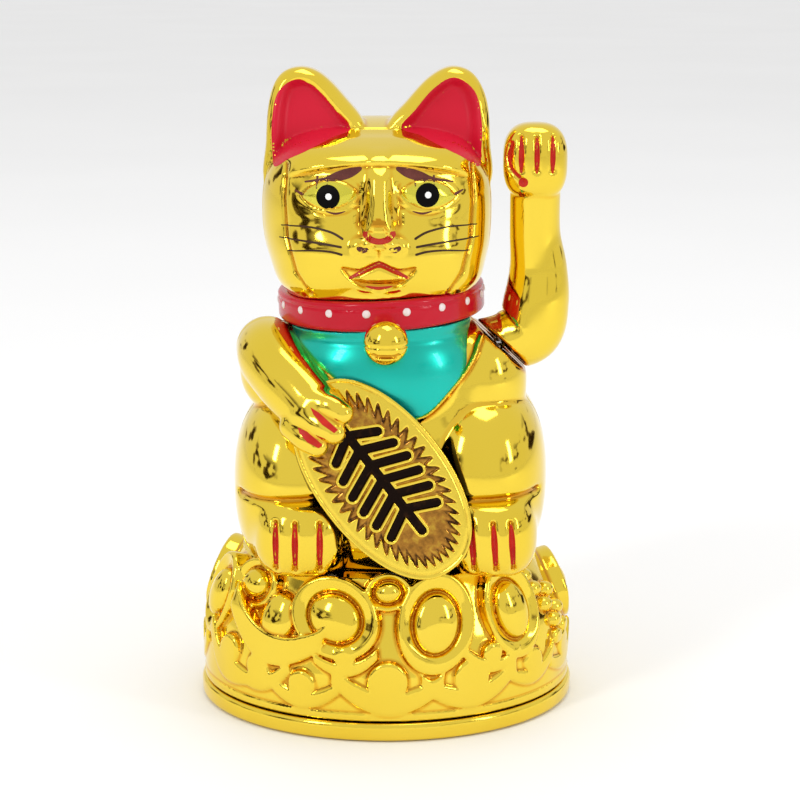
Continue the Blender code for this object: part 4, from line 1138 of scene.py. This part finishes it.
def build_coin():
    """The coin is sculpted lying flat, then set on the belly, so its ink follows its own depth."""
    coin = Solid()
    outline = coin_outline()

    def distance(points):
        flat = points[:, :2]
        side = outline_distance(flat, outline)
        face = points[:, 2] - (0.6 + coin_height(flat))
        plate = smooth_max(side, face, 0.5)
        return np.maximum(plate, COIN_BACK - points[:, 2])

    low = (-COIN_HALF_LENGTH, -COIN_HALF_WIDTH, COIN_BACK)
    coin.join(Shape(distance, low, (COIN_HALF_LENGTH, COIN_HALF_WIDTH, 2.0)))
    points, quads = mesh_data(coin, 0.3)
    obj = mesh_object("oval_coin", points, quads, coin_material())
    turned = Matrix([list(row) for row in coin_frame()]).to_4x4()
    obj.matrix_world = Matrix.Translation(Vector(COIN_CENTRE * MM)) @ turned
    bpy.context.view_layer.update()
    finish_piece(obj, "figure", ("koban_coin",))


def coin_material():
    """Gold on the raised lines, brown-black ink washed into the field."""
    material, nodes, links = new_material("inked_coin")
    shader = nodes["Principled BSDF"]
    source = nodes.new("ShaderNodeTexCoord")
    parts = nodes.new("ShaderNodeSeparateXYZ")
    links.new(source.outputs["Object"], parts.inputs["Vector"])
    blotch = noise_node(nodes, links, 420.0, 3.0, source)
    shift = nodes.new("ShaderNodeMath")
    shift.operation = "MULTIPLY_ADD"
    links.new(blotch.outputs["Fac"], shift.inputs[0])
    shift.inputs[1].default_value = -0.0007
    links.new(parts.outputs["Z"], shift.inputs[2])
    ink = nodes.new("ShaderNodeMapRange")
    links.new(shift.outputs["Value"], ink.inputs["Value"])
    ink.inputs["From Min"].default_value = 0.0003
    ink.inputs["From Max"].default_value = 0.0013
    tone = ramp_node(nodes, links, ink.outputs["Result"], (
        (0.0, (0.012, 0.006, 0.004)), (0.22, (0.05, 0.02, 0.008)), (0.5, (0.42, 0.19, 0.03)),
        (0.8, (0.82, 0.57, 0.06)), (1.0, (0.88, 0.65, 0.07))))
    links.new(tone.outputs["Color"], shader.inputs["Base Color"])
    gloss = range_node(nodes, links, blotch.outputs["Fac"], 0.08, 0.22)
    links.new(gloss.outputs["Result"], shader.inputs["Roughness"])
    bump = bump_node(nodes, links, blotch.outputs["Fac"], 0.08, 0.0003)
    links.new(bump.outputs["Normal"], shader.inputs["Normal"])
    shader.inputs["Metallic"].default_value = 0.95
    return material


# ---------------------------------------------------------------- raised arm
ARM_LINE = (
    (26.0, AXLE_Y, 104.6, 6.0), (33.0, AXLE_Y, 104.6, 8.0), (40.0, AXLE_Y, 107.6, 9.3),
    (42.0, AXLE_Y, 116.0, 9.1), (42.4, AXLE_Y, 125.0, 8.0),
    (41.3, -10.0, 135.0, 7.0), (41.1, -11.5, 147.0, 6.9),
)
ARM_CLAWS = (36.7, 40.9, 45.2)


def build_raised_arm():
    arm = Solid()
    arm.join(limb(ARM_LINE, 14))
    arm.join(mass((40.9, -12.0, 155.0), (8.8, 9.0, 10.6), 2.75), 0.6)
    for x in ARM_CLAWS:
        arm.raise_by(*limb_crease(((x, 162.0), (x, 153.2)), 0.7, 0.9, -24.0, -13.0))
    thumb = ((34.2, 160.0), (33.4, 157.0), (34.0, 153.6), (37.2, 150.4))
    arm.raise_by(*limb_crease(thumb, 0.6, 0.7, -24.0, -12.0))

    def relief(points):
        """Behind the arm's end face, which clears the shoulder flat at both ends of the swing."""
        drop = AXLE_Z - points[:, 2]
        lowest = np.maximum(drop, SWING_FALL * drop) + SWING_RISE * np.abs(points[:, 1] - AXLE_Y)
        return (points[:, 0] - FACET_X - ARM_CLEARANCE - FACET_SLOPE * lowest) * 0.69

    arm.cut(Shape(relief, (15.0, -40.0, 80.0), (60.0, 40.0, 130.0)), 0.6)
    arm.cut(rod((15.0, AXLE_Y, AXLE_Z), (40.3, AXLE_Y, AXLE_Z), 1.6), 0.2)
    front = arm.part(1, -1, SEAM_Y, HAIRLINE)
    rear = arm.part(1, 1, SEAM_Y, HAIRLINE)
    skin("raised_arm_front", front, 0.45, GOLD, ("arm_front_shell",), "waving_arm", joint=relief)
    skin("raised_arm_rear", rear, 0.55, GOLD, ("arm_rear_shell",), "waving_arm", joint=relief)
    strokes = [brush([(x, z) for z in (162.3, 159.0, 155.5, 152.6)], (0.5, 1.3, 1.4, 0.5)) for x in ARM_CLAWS]
    strokes.append(brush([(34.6, 161.0), (33.6, 157.4), (34.2, 153.8), (36.4, 151.4)], (0.4, 0.9, 1.0, 1.0)))
    strokes.append(circle((37.3, 150.0), 1.3, 16))
    films("raised_paw_claws", arm, strokes, -40.0, CLAW_RED, body="waving_arm")


# ---------------------------------------------------------------- mound and base
MOUND_SECTIONS = (
    (MOUND_FLOOR, 52.4, 45.4), (9.0, 53.0, 46.0), (17.0, 52.6, 45.6), (26.0, 50.4, 43.8), (33.0, 47.2, 41.8),
    (38.5, 44.2, 40.4), (44.0, 41.0, 38.5),
)


def mound_frame(bearing, height, roll):
    """A place on the mound and its axes: along, up the slope and outward."""
    rows = np.array(MOUND_SECTIONS)
    half_x, half_y = (float(np.interp(height, rows[:, 0], rows[:, column])) for column in (1, 2))
    angle = math.radians(bearing)
    place = np.array((half_x * math.sin(angle), -half_y * math.cos(angle), height))
    above, below = (np.interp(height + step, rows[:, 0], rows[:, 2]) for step in (3, -3))
    rise = float(above - below) / 6.0
    outward = np.array((math.sin(angle) / half_x, -math.cos(angle) / half_y, 0.0))
    outward /= np.linalg.norm(outward)
    outward[2] = -rise
    outward /= np.linalg.norm(outward)
    along = np.cross((0.0, 0.0, 1.0), outward)
    along /= np.linalg.norm(along)
    up = np.cross(outward, along)
    turn = math.radians(roll)
    first = along * math.cos(turn) + up * math.sin(turn)
    second = np.cross(outward, first)
    return place, np.stack([first, second, outward], axis=1)


def ingot_from_above(bearing, height, half_a, half_b, roll, proud=2.6):
    """A boat ingot lying on its side: an oval wall, a sunk ring and the round crown inside."""
    place, axes = mound_frame(bearing, height, roll)

    def distance(points):
        local = (points - place) @ axes
        size = np.hypot(local[:, 0] / half_a, local[:, 1] / half_b)
        crown = proud - 1.4 + 3.4 * np.sqrt(np.clip(1.0 - (size / 0.6) ** 2, 0.0, 1.0))
        band = proud - 1.0 * smooth_step(0.95, 0.62, size)
        face = local[:, 2] - np.where(size < 0.6, crown, band) + 1.0 * hill(size - 0.61, 0.045)
        side = (size - 1.0) * min(half_a, half_b)
        return smooth_max(side, face * 0.7, 1.0)

    reach = np.abs(axes) @ np.array((half_a, half_b, proud + 1.6))
    return Shape(distance, place - reach - 2.0, place + reach + 2.0)


def ingot_from_side(bearing, height, half_width, roll, tall=0.42, proud=2.4):
    """A boat ingot seen from the side: a hull with raised ends and a round crown on it."""
    place, axes = mound_frame(bearing, height, roll)
    deep = half_width * tall  # how deep the boat is, keel to deck

    def distance(points):
        local = (points - place) @ axes
        x = local[:, 0] / half_width
        top = deep * (-0.1 + 1.0 * x * x)
        keel = deep * (-1.1 + 1.2 * x * x)
        hull = np.maximum(local[:, 1] - top, keel - local[:, 1]) * 0.8
        hull = np.maximum(hull, (np.abs(x) - 1.0) * half_width)
        hull = smooth_max(hull, local[:, 2] - proud - 0.25 * deep * (1.0 - x * x), 1.2)
        ball = np.sqrt(
            (local[:, 0] / 0.36 / half_width) ** 2 + ((local[:, 1] - 0.35 * deep) / (0.9 * deep)) ** 2
            + (local[:, 2] / (proud + 1.2)) ** 2) - 1.0
        return smooth_min(hull, ball * 0.36 * half_width, 0.3)

    reach = np.abs(axes) @ np.array((half_width, deep * 1.4, proud + 1.5))
    return Shape(distance, place - reach - 1.5, place + reach + 1.5)


# bearing, height and half sizes with a roll; a boat seen from its side may add how tall it is
FRONT_INGOTS = (
    ("side", -12.0, 22.0, 9.0, 6.0), ("side", 34.0, 21.0, 9.0, -8.0), ("side", -42.0, 15.5, 11.0, 8.0),
    ("above", -72.0, 32.0, 13.0, 9.0, 70.0), ("above", -52.0, 38.5, 9.0, 7.0, 10.0),
    ("side", -38.0, 28.0, 16.0, -14.0, 0.55),
    ("above", -16.5, 33.4, 12.9, 10.9, -28.0), ("above", 16.4, 32.0, 14.2, 10.8, 80.0),
    ("above", 45.5, 32.4, 14.0, 9.6, 100.0), ("above", 1.0, 40.5, 6.4, 5.2, 5.0),
    ("side", -58.0, 17.0, 12.0, -30.0, 0.5), ("side", -26.0, 13.0, 11.0, -2.0),
    ("side", 0.5, 14.4, 15.5, -4.0),
    ("side", 27.0, 14.6, 14.5, 4.0), ("side", 52.0, 15.5, 10.5, 10.0), ("side", 74.0, 15.5, 11.0, 14.0),
)
NUGGETS = (
    (66.0, 30.0), (69.0, 25.0), (63.0, 35.0), (72.0, 33.0),
    (74.0, 27.5), (68.0, 20.5), (76.0, 22.0), (60.5, 39.0),
)


def heap_plan():
    """Ingots seen on the front, then the same habits carried round the back."""
    plan = list(FRONT_INGOTS)
    for index, bearing in enumerate((100.0, 132.0, 163.0, 194.0, 225.0, 256.0)):
        plan.append(("above", bearing, 29.0 + 2.0 * (index % 2), 11.8, 10.0, 20.0 + 50.0 * (index % 3)))
        plan.append(("side", bearing + 15.0, 13.5 + (index % 2), 12.0, -6.0 + 9.0 * (index % 3)))
    return plan


def build_mound():
    mound = Solid()
    mound.join(stacked_ovals(MOUND_SECTIONS))
    for kind, *rest in heap_plan():
        if kind == "above":
            mound.join(ingot_from_above(*rest), 0.7)
        else:
            mound.join(ingot_from_side(*rest), 0.6)
    for bearing, height in NUGGETS:
        place, axes = mound_frame(bearing, height, 0.0)
        mound.join(mass(place, (2.9, 2.3, 2.9), 2.0, axes), 0.4)
    ledge = stacked_ovals(((MOUND_FLOOR, 53.2, 46.2), (MOUND_FLOOR + 2.3, 53.2, 46.2)))
    mound.join(ledge, 0.4)
    limit = stacked_ovals(((MOUND_FLOOR, 53.4, 46.6), (50.0, 53.4, 46.6)))
    whole_low, whole_high = (-60.0, -52.0, 0.0), (60.0, 52.0, 52.0)
    mound.stroke(lambda f, p: smooth_max(f, limit.distance(p), 0.8), whole_low, whole_high)
    hollow = [(0.0, 49.4, 42.4)] + [(z, x - 3.6, y - 3.6) for z, x, y in MOUND_SECTIONS[1:-1]]
    mound.cut(stacked_ovals(hollow + [(41.6, 38.0, 35.5)]), 0.3)
    mound.stroke(lambda f, p: smooth_max(f, MOUND_FLOOR - p[:, 2], 0.3), whole_low, whole_high)
    mound.low = np.array((-54.5, -47.5, MOUND_FLOOR))
    mound.high = np.array((54.5, 47.5, 47.5))
    skin("ingot_mound", mound, 0.5, GOLD, ("mound_shell",))


RIM_TOP = 5.2
BASE_SCREWS = ((-32.0, -20.0), (32.0, -20.0), (-38.0, 14.0), (38.0, 14.0))


def build_base():
    """The round bottom with its rolled rim, screw wells, battery bay and door groove."""
    base = Solid()
    half_x, half_y = BASE_HALF_X, BASE_HALF_Y
    plate = stacked_ovals(((0.0, half_x, half_y), (RIM_TOP, half_x, half_y)))

    def rolled(points):
        side = oval_side(points[:, 0], points[:, 1], half_x, half_y)
        return smooth_max(side, np.abs(points[:, 2] - RIM_TOP / 2) - RIM_TOP / 2, 1.6)

    base.join(Shape(rolled, plate.low, plate.high))
    base.cut(stacked_ovals(((3.6, half_x - 3.5, half_y - 3.5), (9.0, half_x - 3.5, half_y - 3.5))), 0.3)
    base.join(block((-30.1, 9.1, 1.0), (30.1, 27.9, 20.6)), 0.3)
    base.cut(block((-28.5, 10.7, -3.0), (28.5, 26.3, 19.0)), 0.2)
    base.cut(block((-28.0, 9.6, -3.0), (28.0, 70.0, 1.6), 0.2), 0.2)
    base.cut(block((-29.5, 9.6, 0.9), (29.5, 70.0, 2.7), 0.2), 0.2)
    for x, y in BASE_SCREWS:
        base.cut(rod((x, y, -2.0), (x, y, 2.3), 3.1), 0.2)
        base.cut(rod((x, y, -2.0), (x, y, 8.0), 1.5), 0.1)
    base.high[:2] = (half_x, half_y)
    base.low[:2] = (-half_x, -half_y)
    skin("rim_base", base, 0.5, GOLD_RIM, ("base_plate",))


# ---------------------------------------------------------------- parts that stay as packed
INNER_LOOKS = (  # key, name, darkest and lightest tone, gloss range, metallic, coat
    ("gold_door", "door_gold", ((0.72, 0.50, 0.06), (0.80, 0.57, 0.09)), (0.22, 0.34), 1.0),
    ("mechanism", "grey_nylon", ((0.55, 0.56, 0.55), (0.63, 0.64, 0.62)), (0.45, 0.6)),
    ("steel", "bright_steel", ((0.50, 0.50, 0.52), (0.62, 0.62, 0.64)), (0.18, 0.32), 1.0),
    ("iron", "dull_iron", ((0.12, 0.12, 0.13), (0.2, 0.19, 0.19)), (0.45, 0.65), 0.9),
    ("magnet", "ferrite", ((0.03, 0.03, 0.033), (0.055, 0.055, 0.06)), (0.5, 0.7)),
    ("board", "board_green", ((0.02, 0.13, 0.05), (0.03, 0.17, 0.07)), (0.3, 0.45)),
    ("chip", "chip_black", ((0.015, 0.015, 0.016), (0.03, 0.03, 0.03)), (0.4, 0.55)),
    ("copper", "enamelled_copper", ((0.62, 0.20, 0.08), (0.75, 0.28, 0.12)), (0.25, 0.4), 0.9),
    ("cell", "cell_sleeve", ((0.02, 0.05, 0.16), (0.03, 0.07, 0.22)), (0.25, 0.35), 0.0, 0.3),
    ("lead_black", "lead_black", ((0.02, 0.02, 0.02), (0.04, 0.04, 0.04)), (0.45, 0.6)),
    ("lead_red", "lead_red", ((0.4, 0.02, 0.02), (0.5, 0.03, 0.03)), (0.45, 0.6)),
)
NODE_LOOKS = (  # part of a node's name and its look; grey nylon is left for the rest
    ("battery_door", "gold_door"), ("battery_cell", "cell"), ("battery_contact", "steel"),
    ("battery_spring", "steel"), ("battery_lead_negative", "lead_black"),
    ("battery_lead_positive", "lead_red"), ("circuit_board", "board"), ("drive_chip", "chip"),
    ("coil_winding", "copper"), ("pendulum_weight", "iron"), ("pendulum_magnet", "magnet"),
    ("arm_axle", "steel"), ("axle_clip", "steel"), ("_screw_", "steel"),
)


def dress_nodes():
    """Procedural finishes for the mechanism inside and underneath."""
    looks = {key: finish_material(*look) for key, *look in INNER_LOOKS}
    for name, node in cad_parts.items():
        look = looks[next((key for part, key in NODE_LOOKS if part in name), "mechanism")]
        slots = node.data.materials
        if not slots:
            slots.append(look)
        for index in range(len(slots)):
            slots[index] = look


# ---------------------------------------------------------------- studio
FLOOR_HALF = 40.0


def build_floor():
    mesh = bpy.data.meshes.new("studio_floor")
    corners = [(x * FLOOR_HALF, y * FLOOR_HALF, 0.0) for x, y in ((-1, -1), (1, -1), (1, 1), (-1, 1))]
    mesh.from_pydata(corners, [], [(0, 1, 2, 3)])
    material, nodes, links = new_material("studio_paper")
    shader = nodes["Principled BSDF"]
    source = nodes.new("ShaderNodeTexCoord")
    mottle = noise_node(nodes, links, 3.0, 2.0, source)
    tone = ramp_node(nodes, links, mottle.outputs["Fac"], (
        (0.3, (0.95, 0.95, 0.95)), (0.7, (0.97, 0.97, 0.97))))
    links.new(tone.outputs["Color"], shader.inputs["Base Color"])
    shader.inputs["Roughness"].default_value = 0.9
    mesh.materials.append(material)
    floor = bpy.data.objects.new("studio_floor", mesh)
    floor.location.z = -0.0002
    bpy.context.scene.collection.objects.link(floor)


def build_world():
    """A soft white room with a few dark shapes to the sides, near the horizon, for the gold to mirror."""
    world = bpy.data.worlds.new("studio")
    bpy.context.scene.world = world
    world.use_nodes = True
    nodes, links = world.node_tree.nodes, world.node_tree.links
    background = nodes["Background"]
    source = nodes.new("ShaderNodeTexCoord")
    parts = nodes.new("ShaderNodeSeparateXYZ")
    links.new(source.outputs["Generated"], parts.inputs["Vector"])
    stretch = nodes.new("ShaderNodeMapping")
    stretch.inputs["Scale"].default_value = (1.6, 1.6, 3.2)
    links.new(source.outputs["Generated"], stretch.inputs["Vector"])
    shapes = nodes.new("ShaderNodeTexNoise")
    shapes.inputs["Scale"].default_value = 2.1
    shapes.inputs["Detail"].default_value = 1.5
    links.new(stretch.outputs["Vector"], shapes.inputs["Vector"])
    dark = ramp_node(nodes, links, shapes.outputs["Fac"], (
        (0.36, (0.03, 0.018, 0.012)), (0.42, (0.20, 0.15, 0.12)), (0.46, (0.98, 0.97, 0.95))))
    band = ramp_node(nodes, links, parts.outputs["Z"], (
        (0.0, (0.0, 0.0, 0.0)), (0.02, (1.0, 1.0, 1.0)), (0.30, (1.0, 1.0, 1.0)), (0.44, (0.0, 0.0, 0.0))))
    aside = nodes.new("ShaderNodeMath")
    aside.operation = "ABSOLUTE"
    links.new(parts.outputs["X"], aside.inputs[0])
    flank = ramp_node(nodes, links, aside.outputs["Value"], (
        (0.46, (0.0, 0.0, 0.0)), (0.62, (1.0, 1.0, 1.0))))
    where = nodes.new("ShaderNodeMath")
    where.operation = "MULTIPLY"
    links.new(band.outputs["Color"], where.inputs[0])
    links.new(flank.outputs["Color"], where.inputs[1])
    mix = nodes.new("ShaderNodeMix")
    mix.data_type = "RGBA"
    links.new(where.outputs["Value"], mix.inputs["Factor"])
    mix.inputs["A"].default_value = (1.0, 1.0, 1.0, 1.0)
    links.new(dark.outputs["Color"], mix.inputs["B"])
    seen = nodes.new("ShaderNodeLightPath")
    final = nodes.new("ShaderNodeMix")
    final.data_type = "RGBA"
    links.new(seen.outputs["Is Camera Ray"], final.inputs["Factor"])
    links.new(mix.outputs["Result"], final.inputs["A"])
    final.inputs["B"].default_value = (1.2, 1.2, 1.2, 1.0)
    links.new(final.outputs["Result"], background.inputs["Color"])
    background.inputs["Strength"].default_value = 0.85


LIGHT_AIM = Vector((0.0, 0.0, 0.09))
LIGHTS = (  # name, place, size and power
    ("key_box", (-0.9, -1.0, 1.0), (0.24, 0.6), 5.0),
    ("fill_box", (1.1, -0.7, 0.6), (0.16, 0.6), 2.4),
    ("top_box", (0.1, 0.1, 1.6), (0.8, 0.6), 4.5),
)


def add_light(name, place, size, power):
    data = bpy.data.lights.new(name, "AREA")
    data.shape = "RECTANGLE"
    data.size, data.size_y = size
    data.energy = power
    light = bpy.data.objects.new(name, data)
    light.location = place
    light.rotation_euler = (LIGHT_AIM - Vector(place)).to_track_quat("-Z", "Y").to_euler()
    light.visible_camera = False
    bpy.context.scene.collection.objects.link(light)


CAMERA_DISTANCE = 0.600
CAMERA_RISE = math.radians(12.5)
CAMERA_TARGET = Vector((0.004, 0.0, 0.0854))


def build_camera():
    data = bpy.data.cameras.new("camera")
    data.lens = 94.4
    data.sensor_width = 36.0
    camera = bpy.data.objects.new("camera", data)
    away = Vector((0.0, -math.cos(CAMERA_RISE), math.sin(CAMERA_RISE)))
    camera.location = CAMERA_TARGET + away * CAMERA_DISTANCE
    camera.rotation_euler = (-away).to_track_quat("-Z", "Y").to_euler()
    bpy.context.scene.collection.objects.link(camera)
    bpy.context.scene.camera = camera
    bpy.context.scene.view_settings.view_transform = "Standard"


cat_form = build_cat()
paint_face(cat_form)
paint_ears(cat_form)
paint_claws(cat_form)
build_collar()
build_dots()
build_bell()
build_bib()
build_coin()
build_raised_arm()
build_mound()
build_base()
dress_nodes()
build_floor()
build_world()
for light_row in LIGHTS:
    add_light(*light_row)
build_camera()
